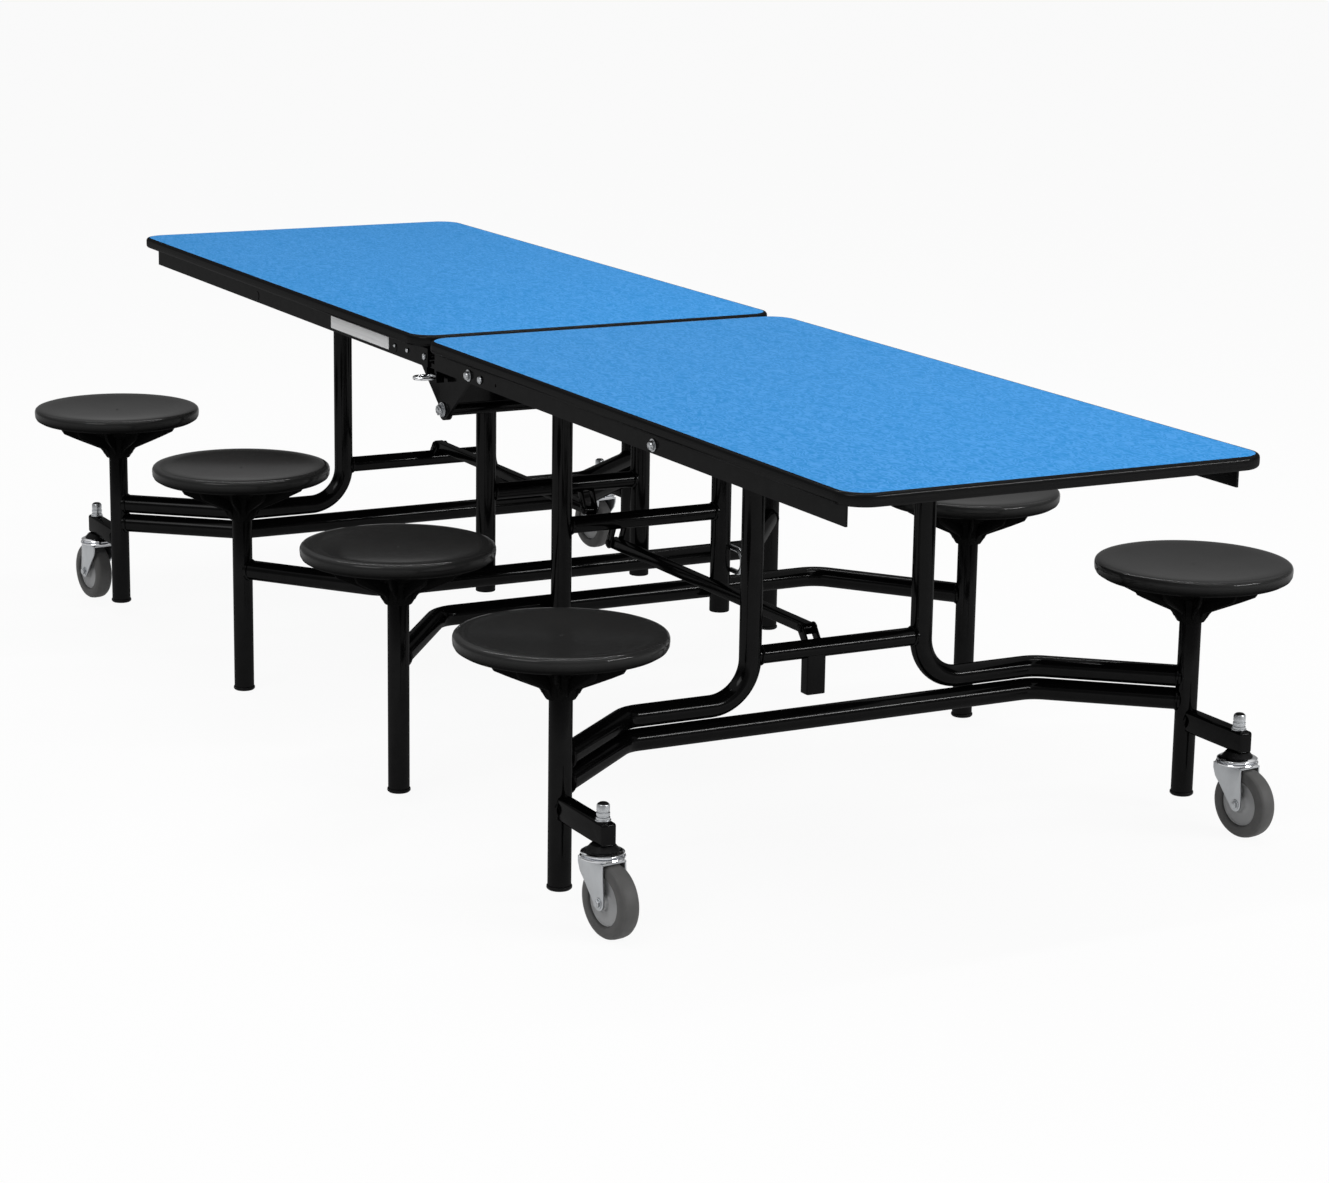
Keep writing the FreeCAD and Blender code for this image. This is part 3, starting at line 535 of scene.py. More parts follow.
def tube(points, bends, radius, sides=28):
    """A closed round bar along straight runs; each bend is a partial spin of its ring."""
    bm = bmesh.new()
    points = [Vector(point) for point in points]
    ring = bmesh.ops.create_circle(bm, cap_ends=False, segments=sides, radius=radius)["verts"]
    bmesh.ops.transform(bm, matrix=turned_to(points[1] - points[0], points[0]), verts=ring)
    edges = list(bm.edges)
    first = list(edges)
    here = points[0]
    for before, corner, after, bend in zip(points, points[1:], points[2:], bends):
        back = (before - corner).normalized()
        ahead = (after - corner).normalized()
        turn = math.pi - back.angle(ahead)
        reach = bend * math.tan(turn / 2)
        edges = push(bm, edges, corner + back * reach - here)
        centre = corner + (back + ahead).normalized() * (bend / math.cos(turn / 2))
        last = bmesh.ops.spin(bm, geom=edges, cent=centre, axis=ahead.cross(back).normalized(),
                              dvec=(0, 0, 0), angle=turn, use_duplicate=False,
                              steps=max(4, round(math.degrees(turn) / 5)))["geom_last"]
        edges = [item for item in last if isinstance(item, bmesh.types.BMEdge)]
        here = corner + ahead * reach
    edges = push(bm, edges, points[-1] - here)
    for loop in (first, edges):
        bmesh.ops.contextual_create(bm, geom=loop)
    bmesh.ops.recalc_face_normals(bm, faces=bm.faces)
    return bm


def cross_rod(x, z, reach, radius, y=0.0):
    """A straight round bar along Y that reaches as far to either side."""
    return tube([(x, y - reach, z), (x, y + reach, z)], [], radius)


def weld_bead(radius, bead, about, at):
    """A slightly lumpy ring of weld where a tube meets another piece."""
    bm = bmesh.new()
    ring = bmesh.ops.create_circle(bm, cap_ends=False, segments=8, radius=bead)["verts"]
    bmesh.ops.transform(bm, matrix=Matrix.Translation((radius, 0, 0))
                        @ Matrix.Rotation(math.pi / 2, 4, "X"), verts=ring)
    full_spin(bm, list(bm.edges), 44)
    for vert in bm.verts:
        angle = math.atan2(vert.co.y, vert.co.x)
        swell = 1.0 + 0.012 * math.sin(angle * 22) + 0.006 * math.sin(angle * 5)
        vert.co.x *= swell
        vert.co.y *= swell
    bmesh.ops.recalc_face_normals(bm, faces=bm.faces)
    move(bm, turned_to(about, at))
    return bm


def arc(x, z, radius, angles):
    """Points round a centre in XZ, at angles given in degrees."""
    return [(x + radius * math.cos(angle), z + radius * math.sin(angle))
            for angle in map(math.radians, angles)]


def plate(outline, thickness, rounding):
    """A flat plate from an outline in XZ, standing from Y 0 to its thickness."""
    bm = bmesh.new()
    face = bm.faces.new([bm.verts.new((x, 0.0, z)) for x, z in outline])
    grown = bmesh.ops.extrude_face_region(bm, geom=[face])["geom"]
    bmesh.ops.translate(bm, vec=(0.0, thickness, 0.0),
                        verts=[item for item in grown if isinstance(item, bmesh.types.BMVert)])
    bmesh.ops.recalc_face_normals(bm, faces=bm.faces)
    if rounding:
        soften(bm, rounding, 2, 50.0)
    return bm


def slab(low, high, corner=0.0, corner_steps=12):
    """A block between two corners, its upright edges rounded where a radius is given."""
    low, high = Vector(low), Vector(high)
    bm = bmesh.new()
    bmesh.ops.create_cube(bm, size=1.0)
    bmesh.ops.scale(bm, vec=high - low, verts=bm.verts)
    bmesh.ops.translate(bm, vec=(low + high) / 2, verts=bm.verts)
    if corner:
        soften(bm, corner, corner_steps, edges=edges_along(bm, 2, (high - low).z / 2))
    return bm


def piece(name, bm, slot, body, *nodes):
    """Makes a finished object of a mesh, hangs it on its body and lets it stand for nodes."""
    mesh = bpy.data.meshes.new(name)
    bm.to_mesh(mesh)
    bm.free()
    mesh.shade_smooth()
    mesh.set_sharp_from_angle(angle=math.radians(32))
    mesh.materials.append(finish(slot))
    made = bpy.data.objects.new(name, mesh)
    bpy.context.scene.collection.objects.link(made)
    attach(made, body)
    if nodes:
        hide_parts(*nodes)


# ---- fasteners, sized in millimetres
def bolt_head(radius, height):
    """Domed head with a small flat on top, standing on Z 0."""
    bm = spun(in_mm((0, 0), (radius, 0), (radius, height * 0.45), (radius * 0.72, height * 0.88),
                    (radius * 0.3, height), (0, height)), 32)
    soften(bm, mm(height * 0.08), 2, 20.0)
    return bm


def hex_nut(radius, height, dome=0.0):
    """Six-sided nut with chamfered corners; a dome above it makes it a cap nut."""
    bm = bmesh.new()
    bmesh.ops.create_cone(bm, cap_ends=True, segments=6, radius1=mm(radius), radius2=mm(radius),
                          depth=mm(height))
    bmesh.ops.translate(bm, vec=(0, 0, mm(height / 2)), verts=bm.verts)
    soften(bm, mm(height * 0.12), 2, 40.0)
    if dome:
        foot = height - 0.2
        join(bm, spun(in_mm((0, foot), (radius * 0.62, foot),
                            (radius * 0.58, height + dome * 0.55),
                            (radius * 0.3, height + dome * 0.92), (0, height + dome)), 28))
    return bm


def washer(radius, bore, thickness):
    bm = spun_ring(in_mm((bore, 0), (radius, 0), (radius, thickness), (bore, thickness)), 40)
    soften(bm, mm(thickness * 0.2), 2, 50.0)
    return bm


# ---- the table tops
def build_top(half):
    """Moulded edge as a rounded frame, laminate sheet and board inside it."""
    s = sizes()
    body = half + "_top"
    low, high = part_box(half + "_top_edge_band")

    def broad_faces():
        return [face for face in edge.faces
                if abs(face.normal.z) > 0.99 and face.calc_area() > 0.5]

    edge = slab(low, high, s.corner_radius)
    for height in (low[2], high[2]):
        soften(edge, s.edge_round, 4, edges=flat_rim(edge, height))
    for face in broad_faces():
        bmesh.ops.inset_region(edge, faces=[face], thickness=s.edge_width - s.edge_round,
                               use_even_offset=True)
    inner = broad_faces()
    rims = [rim for face in inner for rim in face.edges]
    bmesh.ops.delete(edge, geom=inner, context="FACES_ONLY")
    bmesh.ops.bridge_loops(edge, edges=rims)
    bmesh.ops.recalc_face_normals(edge, faces=edge.faces)
    piece(half + "_moulded_edge", edge, "edge_band", body, half + "_top_edge_band")

    inner_radius = s.corner_radius - s.edge_width
    sheet = slab(*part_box(half + "_top_laminate"), inner_radius)
    soften(sheet, mm(0.35), 2, edges=flat_rim(sheet, high[2]))
    piece(half + "_laminate_sheet", sheet, "blue_laminate", body, half + "_top_laminate")

    board = slab(*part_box(half + "_top_panel"), inner_radius)
    piece(half + "_board", board, "panel_core", body, half + "_top_panel")


def build_rails(half):
    """Finishes of the rails, channels and hinge plates, and the screws of the rails."""
    for name in ("_side_rails", "_cross_channels", "_hinge_plates"):
        dress(half + name, "frame_black")
    screws = bmesh.new()
    screws_per_rail = 7
    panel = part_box(half + "_top_panel")[0][2]
    low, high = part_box(half + "_side_rails")
    for side in (-1, 1):
        for index in range(screws_per_rail):
            x = low[0] + (high[0] - low[0]) * (index + 0.5) / screws_per_rail
            join(screws, bolt_head(4.5, 2.2),
                 turned_to((0, 0, -1), (x, side * (high[1] - mm(22)), panel - mm(4.0))))
    piece(half + "_rail_screws", screws, "zinc", half + "_top")


# ---- frames
def arm(kind, side, knee_x, height):
    """Where an arm starts inside its post's wall, its knee, and the bead round its start."""
    s = sizes()
    x, y = STOOL_XY[kind]
    post = Vector((x, side * y, height))
    knee = Vector((knee_x, side * s.knee_y, height))
    way = (knee - post).normalized()
    bead = weld_bead(s.tube, s.weld, way, post + way * s.tube * ARM_WELD)
    return post + way * s.tube * ARM_START, knee, bead


def add_post_tube(cross, beads, kind, knee_x, height):
    """The bent tube from post to post and its two welds."""
    s = sizes()
    starts, knees, welds = zip(*(arm(kind, side, knee_x, height) for side in (-1, 1)))
    for weld in welds:
        join(beads, weld)
    join(cross, tube([starts[0], *knees, starts[1]], [s.arm_bend] * 2, s.tube))


def add_crossbar(cross, beads, kind):
    """The thin bar between the legs, its two welds, and the drag link's ears."""
    s = sizes()
    x, z = LEG_X[kind], BAR_Z[kind]
    for side in (-1, 1):
        join(beads, weld_bead(s.crossbar, s.weld, (0, 1, 0),
                              (x, side * (LEG_Y - s.tube * WELD_AT_WALL), z)))
    join(cross, cross_rod(x, z, LEG_Y, s.crossbar))
    add_link_ears(cross, x, z)


def add_link_ears(bm, leg_x, bar_z):
    """Two rounded ears that carry the drag link's pin, and the pin with its heads."""
    ear, sheet, half_gap = mm(9.5), mm(4), mm(10.3)
    pivot = Vector((leg_x - LINK_PIN_INSET, LINK_PIN_Y, LINK_PIN_Z))
    run = Vector((pivot.x - leg_x, 0, pivot.z - bar_z))
    reach = run.length
    outline = [(-ear + mm(1), 0.0), (ear - mm(1), 0.0), (ear, reach),
               *arc(0.0, reach, ear, range(15, 180, 15)), (-ear, reach)]
    tilt = Matrix.Rotation(math.atan2(run.x, run.z), 4, "Y")
    for side in (-1, 1):
        inner = pivot.y + side * half_gap
        y = inner if side > 0 else inner - sheet
        join(bm, plate(outline, sheet, mm(0.7)), Matrix.Translation((leg_x, y, bar_z)) @ tilt)
        join(bm, bolt_head(7, 3.5), across(side, pivot.x, inner + side * sheet, pivot.z))
    join(bm, cross_rod(pivot.x, pivot.z, half_gap + sheet, mm(4.4), pivot.y))


def frame_pieces(half, kind, legs, cross, beads):
    """Turns a frame's meshes to their half and makes its pieces."""
    body = f"{half}_{kind}_frame"
    move_to_half(half, legs, cross, beads)
    piece(f"{half}_{kind}_legs", legs, "frame_black", body, f"{half}_{kind}_leg_tubes")
    piece(f"{half}_{kind}_crossbars", cross, "frame_black", body, f"{half}_{kind}_cross_tubes")
    piece(f"{half}_{kind}_weld_beads", beads, "frame_black", body)


def build_outer_frame(half):
    """Legs that bend into the arms, with a low tube and a crossbar between them."""
    s = sizes()
    leg_x, bar_z = LEG_X["outer"], BAR_Z["outer"]
    legs, cross, beads = bmesh.new(), bmesh.new(), bmesh.new()
    for side in (-1, 1):
        start, knee, weld = arm("outer", side, leg_x, ARM_Z)
        join(beads, weld)
        join(legs, tube([(leg_x, side * LEG_Y, LEG_TOP), (leg_x, side * LEG_Y, ARM_Z), knee,
                         start], [s.leg_bend, s.arm_bend], s.tube))
    add_post_tube(cross, beads, "outer", leg_x, LOWER_TUBE_Z)
    add_crossbar(cross, beads, "outer")
    if half == "near":
        stub_end = bar_z - mm(77.9)
        stub = slab((leg_x - mm(12.5), mm(-63), stub_end),
                    (leg_x + mm(12.5), mm(-27), bar_z - mm(6)), mm(4), 5)
        soften(stub, mm(1.2), 2, edges=flat_rim(stub, stub_end))
        join(cross, stub)
    frame_pieces(half, "outer", legs, cross, beads)


def build_inner_frame(half):
    """Straight legs with rounded ends, with a tube and a crossbar between them."""
    s = sizes()
    leg_x = LEG_X["inner"]
    legs, cross, beads = bmesh.new(), bmesh.new(), bmesh.new()
    for side in (-1, 1):
        leg = tube([(leg_x, side * LEG_Y, LEG_TOP), (leg_x, side * LEG_Y, LEG_END)], [], s.tube)
        soften(leg, mm(1.5), 3, edges=flat_rim(leg, LEG_END))
        join(legs, leg)
    add_post_tube(cross, beads, "inner", leg_x - 2 * s.tube, ARM_Z)
    add_crossbar(cross, beads, "inner")
    frame_pieces(half, "inner", legs, cross, beads)


def build_posts(half, kind):
    """Stool posts with a closed top, a spindle, and a lipped foot."""
    s = sizes()
    body = f"{half}_{kind}_frame"
    feet_node = half + ("_outer_post_caps" if kind == "outer" else "_inner_post_feet")
    post_node = f"{half}_{kind}_stool_posts"
    low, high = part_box(post_node)
    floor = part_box(feet_node)[0][2]
    x = (low[0] + high[0]) / 2
    lip = s.tube + mm(1.6)
    top, foot_top = high[2] - mm(42), floor + mm(7)
    spindle = mm(10)
    posts, feet = bmesh.new(), bmesh.new()
    for side in (-1, 1):
        place = Matrix.Translation((x, side * (high[1] - s.tube), 0))
        post = spun([(0, foot_top), (s.tube, foot_top), (s.tube, top), (spindle, top),
                     (spindle, high[2]), (0, high[2])], 32)
        soften(post, mm(0.8), 2, 50.0)
        join(posts, post, place)
        foot = spun([(0, floor), (lip - mm(2.5), floor), (lip, floor + mm(2.5)),
                     (lip, floor + mm(6)), (lip - mm(0.8), foot_top), (0, foot_top)], 36)
        soften(foot, mm(0.5), 2, 25.0)
        join(feet, foot, place)
    piece(f"{half}_{kind}_posts", posts, "frame_black", body, post_node)
    piece(f"{half}_{kind}_feet", feet, "cap_black", body, feet_node)


def build_link(half):
    """Rectangular drag link with softened edges and open ends."""
    bm = slab(*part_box(half + "_drag_link"))
    soften(bm, mm(2.4), 4, edges=edges_along(bm, 0, 0.1))
    ends = [face for face in bm.faces if abs(face.normal.x) > 0.99]
    bmesh.ops.inset_individual(bm, faces=ends, thickness=mm(1.6))
    for face in [face for face in ends if face.is_valid]:
        bmesh.ops.translate(bm, vec=face.normal * mm(-30), verts=face.verts)
    piece(half + "_drag_bar", bm, "frame_black", half + "_link", half + "_drag_link")


# ---- seats
def seat_mesh(radius):
    """A seat about its own axis, its top rim at Z 0, drawn in millimetres."""
    s = sizes()
    r, dish, rim = (size * 1000 for size in (radius, s.seat_dish, s.seat_rim))
    inner, hub, deep = r - 15, 31, 106
    dish_steps, ribs = 8, 12
    profile = [(0, -dish)]
    profile += [(inner * step / dish_steps, -dish * (1 - (step / dish_steps) ** 2))
                for step in range(1, dish_steps + 1)]
    profile += [(r - 7, -0.3), (r - 3.6, -1.3), (r - 1.4, -3.4), (r - 0.2, -6.6), (r, -10.5),
                (r - 0.8, 4 - rim), (r - 3.5, -rim - 1), (r - 10, -rim - 5), (r - 22, -rim - 7),
                (r * 0.60, -34), (r * 0.48, -44), (hub + 6, -64), (hub, -76), (hub, -91),
                (hub - 2, -98), (hub - 7, -deep), (0, -deep)]
    bm = spun(in_mm(*profile), 96)
    soften(bm, mm(2), 2, edges=rings_at(bm, mm(r - 22), mm(-rim - 7)))
    soften(bm, mm(2), 3, edges=rings_at(bm, mm(hub), mm(-91)))
    gate_mark = in_mm((0, 0.1 - dish), (1.6, 0.1 - dish), (2.0, 0.5 - dish), (1.2, 0.9 - dish),
                      (0, 1.0 - dish))
    join(bm, spun(gate_mark, 20))
    outline = in_mm((hub - 8, -50), (hub - 8, -99), (hub - 1, -98), (hub + 2, -92),
                    (hub + 7, -86), (r * 0.42, -71), (r * 0.56, -60), (r * 0.68, -50),
                    (r * 0.72, -40), (r * 0.74, -27), (r * 0.3, -40))
    for index in range(ribs):
        join(bm, plate(outline, s.rib, mm(0.9)),
             Matrix.Rotation(FULL_TURN * index / ribs, 4, "Z")
             @ Matrix.Translation((0, -s.rib / 2, 0)))
    return bm


def build_seat(half, side, kind):
    body = f"{half}_{side}_{kind}_stool"
    node = f"{half}_{side}_{kind}_seat"
    low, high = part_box(node)
    first_low, first_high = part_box("near_left_outer_seat")
    bm = seat_mesh((first_high[0] - first_low[0]) / 2)
    centre = (Vector(low) + Vector(high)) / 2
    move(bm, Matrix.Translation((centre.x, centre.y, high[2])))
    piece(body + "_seat", bm, "seat_black", body, node)


# ---- casters
def caster_place(half, side):
    """The swivel's place and its resting turn, read from the frame."""
    joints = {joint["name"]: joint for joint in frame["joints"]}
    at = Vector(joints[f"{half}_{side}_caster_swivel"]["pos_m"])
    trail = Vector(joints[f"{half}_{side}_wheel_spin"]["pos_m"]) - at
    return Matrix.Translation((at.x, at.y, 0)) @ Matrix.Rotation(
        math.atan2(trail.y, trail.x), 4, "Z")


def wheel_turned(profile):
    """Turns (radius, width) points about the wheel's axle."""
    bm = spun_ring(profile, 72)
    move(bm, Matrix.Translation((TRAIL, 0, WHEEL_Z)) @ Matrix.Rotation(math.pi / 2, 4, "X"))
    return bm


def fork_leg_outline():
    """Wide under the crown, drawn in below it and round at the axle."""
    top = 124.2
    return (in_mm((-31, top), (-31, top - 10), (-26, top - 24), (-14, top - 38))
            + arc(TRAIL, WHEEL_Z, mm(12.5), range(205, 366, 16))
            + in_mm((34, 78), (32, top - 18), (31, top - 6), (31, top)))


def build_fork(half, side):
    """Grooved race, and a pressed fork whose legs flare behind a crease."""
    place = caster_place(half, side)
    body, node = f"{half}_{side}_caster", f"{half}_{side}_fork"
    race = spun_ring(in_mm((7.06, 124.6), (33.5, 124.6), (35.6, 125.6), (36.4, 127.2),
                           (35.6, 129.0), (33.0, 129.8), (31.2, 130.4), (31.2, 131.4),
                           (34.0, 131.9), (35.0, 133.2), (34.4, 134.7), (31.0, 136.6),
                           (7.06, 136.6)), 72)
    move(race, place)
    piece(body + "_race", race, "chrome", body, node)

    crown_low, crown_high = in_mm((-31, -23, 121.2), (31, 23, 124.6))
    bm = slab(crown_low, crown_high)
    soften(bm, mm(3.0), 4, edges=[edge for edge in edges_along(bm, 0, mm(50))
                                  if edge.verts[0].co.z > mm(124)])
    crease, flare = mm(8), 0.06
    for way in (-1, 1):
        leg = plate(fork_leg_outline(), mm(3), 0.0)
        bmesh.ops.bisect_plane(leg, geom=list(leg.verts) + list(leg.edges) + list(leg.faces),
                               plane_co=(crease, 0, 0), plane_no=(1, 0, 0), dist=mm(0.01))
        soften(leg, mm(0.7), 2, 50.0)
        for vert in leg.verts:
            vert.co.y += mm(20) if way > 0 else mm(-23)
            vert.co.y += way * max(crease - vert.co.x, 0.0) * flare
        join(bm, leg)
        join(bm, washer(9, 4, 1.4), across(way, TRAIL, way * mm(23), WHEEL_Z))
        join(bm, hex_nut(7.2, 3.4, 1.6 if way < 0 else 0.0),
             across(way, TRAIL, way * mm(24.4), WHEEL_Z))
    join(bm, cross_rod(TRAIL, WHEEL_Z, mm(23.5), mm(5)))
    move(bm, place)
    piece(body + "_fork", bm, "zinc", body, node)


def build_wheel(half, side):
    """Round-shouldered tyre on a dished hub."""
    place = caster_place(half, side)
    body = f"{half}_{side}_wheel"
    tyre_side = in_mm((38.5, 8.5), (39.1, 15.2), (40.9, 16.8), (49.5, 17), (51, 16.6),
                      (56.4, 14.6), (59.0, 11), (60, 5.5))
    tyre = wheel_turned([(r, -w) for r, w in tyre_side] + tyre_side[::-1])
    soften(tyre, mm(0.6), 2, 18.0)
    move(tyre, place)
    piece(f"{half}_{side}_caster_tyre", tyre, "tyre_grey", body, f"{half}_{side}_tyre")
    hub_side = in_mm((5.06, -19.6), (11.5, -19.6), (13, -18), (14, -12.5), (16, -10.5),
                     (22, -9.0), (35.5, -10.0), (37, -11.5), (38.4, -11.5))
    hub = wheel_turned(hub_side + [(r, -w) for r, w in reversed(hub_side)])
    soften(hub, mm(0.5), 2, 28.0)
    move(hub, place)
    piece(f"{half}_{side}_caster_hub", hub, "hub_grey", body, f"{half}_{side}_wheel_hub")


def build_caster_arms(half):
    """Rounded box arms, their stems with grooved nuts and plugs, and the tapered bushings."""
    s = sizes()
    low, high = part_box(half + "_caster_arms")
    post_x, post_y = STOOL_XY["outer"]
    arm_half_width, arm_end = mm(13), STEM_X + mm(22)
    nut_foot = mm(184)
    nut = in_mm((0, 184), (11.2, 184), (11.2, 189.5), (9.4, 190.3), (9.4, 191.8), (10.8, 192.6),
                (10.8, 197), (9.4, 197.8), (9.4, 199.0), (10.4, 199.8), (10.4, 208.4),
                (9.2, 210.6), (7.6, 211), (6.6, 206), (0, 205.6))
    bushing = in_mm((7, 136.9), (25.6, 136.9), (26.2, 138.2), (20.5, 145.2), (19.6, 146),
                    (7, 146))
    plug = in_mm((0, 205), (8.6, 205), (8.4, 211.2), (6.4, 212.6), (3.0, 213.2), (0, 213.3))
    arms, stems, plastics = bmesh.new(), bmesh.new(), bmesh.new()
    for side in (-1, 1):
        y = side * post_y
        stem = Matrix.Translation((STEM_X, y, 0))
        box_arm = slab((post_x + s.tube * 0.7, y - arm_half_width, low[2]),
                       (arm_end, y + arm_half_width, high[2]))
        soften(box_arm, mm(5.0), 4, 40.0)
        join(arms, box_arm)
        join(arms, weld_bead(mm(15.5), mm(2.6), (1, 0, 0),
                             (post_x + s.tube * WELD_AT_WALL, y, (low[2] + high[2]) / 2)))
        join(stems, spun(nut, 40), stem)
        join(stems, washer(12.6, 6, 1.6), Matrix.Translation((STEM_X, y, nut_foot)))
        join(plastics, spun_ring(bushing, 48), stem)
        join(plastics, spun(plug, 32), stem)
    move_to_half(half, arms, stems, plastics)
    body = half + "_outer_frame"
    piece(half + "_caster_box_arms", arms, "frame_black", body, half + "_caster_arms")
    piece(half + "_caster_stem_nuts", stems, "zinc", body, half + "_caster_stems")
    piece(half + "_caster_bushings", plastics, "cap_black", body)


# ---- bolts and small parts
def build_pivot_bolts(half):
    """Frame axles with washers and heads, rail rivets, and plugs over the axles' ends."""
    rail_low, rail_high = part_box("near_side_rails")
    rail, rivet_z = rail_high[1], rail_low[2] + RIVET_RISE
    bolts, plugs = bmesh.new(), bmesh.new()
    plug = in_mm((0, 0), (8.8, 0), (8.8, 0.5), (8.2, 0.9), (0, 1.0))
    for x in LEG_X.values():
        join(bolts, cross_rod(x, AXLE_Z, rail, mm(8)))
        join(bolts, washer(11, 7.5, 2), across(-1, x, -rail, AXLE_Z))
        join(bolts, bolt_head(8, 7), across(-1, x, -rail - mm(2), AXLE_Z))
        for side in (-1, 1):
            join(bolts, washer(13, 8, 6), across(-side, x, side * (rail - mm(4)), AXLE_Z))
        join(plugs, spun(plug, 36), across(1, x, rail, AXLE_Z))
    join(bolts, bolt_head(7.5, 5), across(-1, PLAIN_BOLT_X, -rail, AXLE_Z))
    for x, radius in ((LEG_X["inner"], 3.2), (RAIL_RIVET_X, 4.5)):
        join(bolts, bolt_head(radius, 3), across(1, x, rail + mm(0.6), rivet_z))
    join(bolts, hex_nut(6.6, 2.4, 0.8), across(1, RAIL_NUT_X, rail, rivet_z))
    move_to_half(half, bolts, plugs)
    piece(half + "_pivot_bolts", bolts, "zinc", half + "_top", half + "_pivot_axles")
    piece(half + "_pivot_plugs", plugs, "frame_black", half + "_top")


def build_hinge():
    """The pin between the halves with its washers and cap nuts, and its sleeve."""
    pin = cross_rod(0.0, HINGE_Z, 0.336, mm(8))
    for side in (-1, 1):
        for part, y in ((washer(14, 7, 2.6), 0.3333),
                        (washer(12.4, 7, 1.8), 0.3359),
                        (hex_nut(10.5, 6.2, 3.0), 0.3377)):
            join(pin, part, across(side, 0.0, side * y, HINGE_Z))
    piece("centre_hinge_pin", pin, "zinc", "near_top", "hinge_axle")
    sleeve = cross_rod(0.0, HINGE_Z, 0.321, mm(12.7))
    piece("centre_hinge_sleeve", sleeve, "frame_black", "near_top", "hinge_axle")


def build_latch():
    """Bright U handle with the barrel that it swings on."""
    x0, x1 = LATCH_RODS_X
    bail = tube([(x0, LATCH_PIN_Y, LATCH_Z), (x0, LATCH_LOOP_Y, LATCH_Z),
                 (x1, LATCH_LOOP_Y, LATCH_Z), (x1, LATCH_PIN_Y, LATCH_Z)],
                [mm(13.0)] * 2, mm(3.6), 20)
    low, high = x0 - mm(6), x1 + mm(6)
    barrel = spun_ring([(mm(3.1), low), (mm(5.5), low), (mm(6), low + mm(0.6)),
                        (mm(6), high - mm(0.6)), (mm(5.5), high), (mm(3.1), high)], 32)
    join(bail, barrel, Matrix.Translation((0, LATCH_PIN_Y, LATCH_Z))
         @ Matrix.Rotation(math.pi / 2, 4, "Y"))
    piece("latch_bail", bail, "chrome", "latch", "latch_handle")


def build_lock_hook():
    """Bent rod beside the inner leg."""
    rod = mm(5)
    low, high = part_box("lock_hook")
    y, z = (low[1] + high[1]) / 2, (low[2] + high[2]) / 2
    reach = (high[2] - low[2]) / 2 - rod
    hook = tube([(low[0], y, z + reach), (high[0] - rod, y, z + reach),
                 (high[0] - rod, y, z - reach), (low[0], y, z - reach)],
                [reach * 0.95] * 2, rod, 20)
    piece("fold_lock_hook", hook, "zinc", "near_inner_frame", "lock_hook")


def build_label():
    """Blank plate with round corners on the rail."""
    label = slab(*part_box("label_plate"))
    soften(label, mm(2.5), 5, edges=edges_along(label, 1, mm(0.2)))
    piece("blank_label", label, "label_white", "far_top", "label_plate")


# ---- the studio
def stage_material(name, tone, glow):
    """Pale stage paint: diffuse, lifted towards white for what looks straight at it."""
    f = Finish(name)
    cloud = f.noise(scale=0.7, detail=2.0)
    matte = f.matte(f.tones(cloud, tone, 0.995, 1.0))
    light = f.node("ShaderNodeEmission", {}, {"Strength": 1.0}, output="Emission")
    seen = f.node("ShaderNodeLightPath", output="Is Camera Ray")
    gloss = f.node("ShaderNodeLightPath", output="Is Glossy Ray")
    f.close(f.mixed((seen + gloss * 0.5) * glow, matte, light))
    return f.material


def softbox(name, at, aim, size, power):
    lamp = bpy.data.lights.new(name, "AREA")
    lamp.shape = "RECTANGLE"
    lamp.size, lamp.size_y = size
    lamp.energy = power
    made = bpy.data.objects.new(name, lamp)
    bpy.context.scene.collection.objects.link(made)
    made.location = at
    made.rotation_mode = "QUATERNION"
    made.rotation_quaternion = (Vector(aim) - Vector(at)).to_track_quat("-Z", "Y")


def build_floor():
    bm = bmesh.new()
    bmesh.ops.create_grid(bm, x_segments=8, y_segments=8, size=sizes().floor)
    bmesh.ops.translate(bm, vec=(0, 0, mm(-0.2)), verts=bm.verts)
    mesh = bpy.data.meshes.new("studio_floor")
    bm.to_mesh(mesh)
    bm.free()
    floor = bpy.data.objects.new("studio_floor", mesh)
    bpy.context.scene.collection.objects.link(floor)
    mesh.materials.append(stage_material("studio_floor", (0.86, 0.86, 0.86), 0.93))


def build_world():
    """A sky that brightens overhead for the light, and is white behind the object."""
    world = bpy.data.worlds.new("studio_air")
    bpy.context.scene.world = world
    n = Nodes(world, "ShaderNodeOutputWorld")
    seen = n.node("ShaderNodeLightPath", output="Is Camera Ray")
    gloss = n.node("ShaderNodeLightPath", output="Is Glossy Ray")
    above = n.node("ShaderNodeTexCoord", output="Generated")
    height = n.node("ShaderNodeSeparateXYZ", {}, {"Vector": above}, output="Z").at_least(0.0)
    dome = height * 0.42 + 0.12
    mirrored = n.ramp(height, (0.0, 0.50), (0.11, 0.30), (0.40, 0.24), (0.62, 0.80))
    strength = dome.at_least(gloss * mirrored).at_least(seen * 0.985)
    n.close(n.node("ShaderNodeBackground", {}, {"Color": (1, 1, 1, 1), "Strength": strength},
                   output="Background"))


def build_lights():
    """A broad key from the left, and long strips that draw highlights along the tubes."""
    softbox("key_softbox", (2.6, -5.2, 4.4), (0.0, 0.0, 0.5), (3.2, 2.2), 88.0)
    softbox("top_strip", (1.4, 0.0, 4.6), (0.8, 0.0, 0.5), (4.2, 0.16), 52.0)
    softbox("back_strip", (-2.2, 0.6, 4.6), (-0.8, 0.0, 0.5), (4.2, 0.16), 64.0)
    softbox("front_strip", (6.2, 3.6, 3.0), (0.6, 0.0, 0.3), (3.6, 0.30), 200.0)


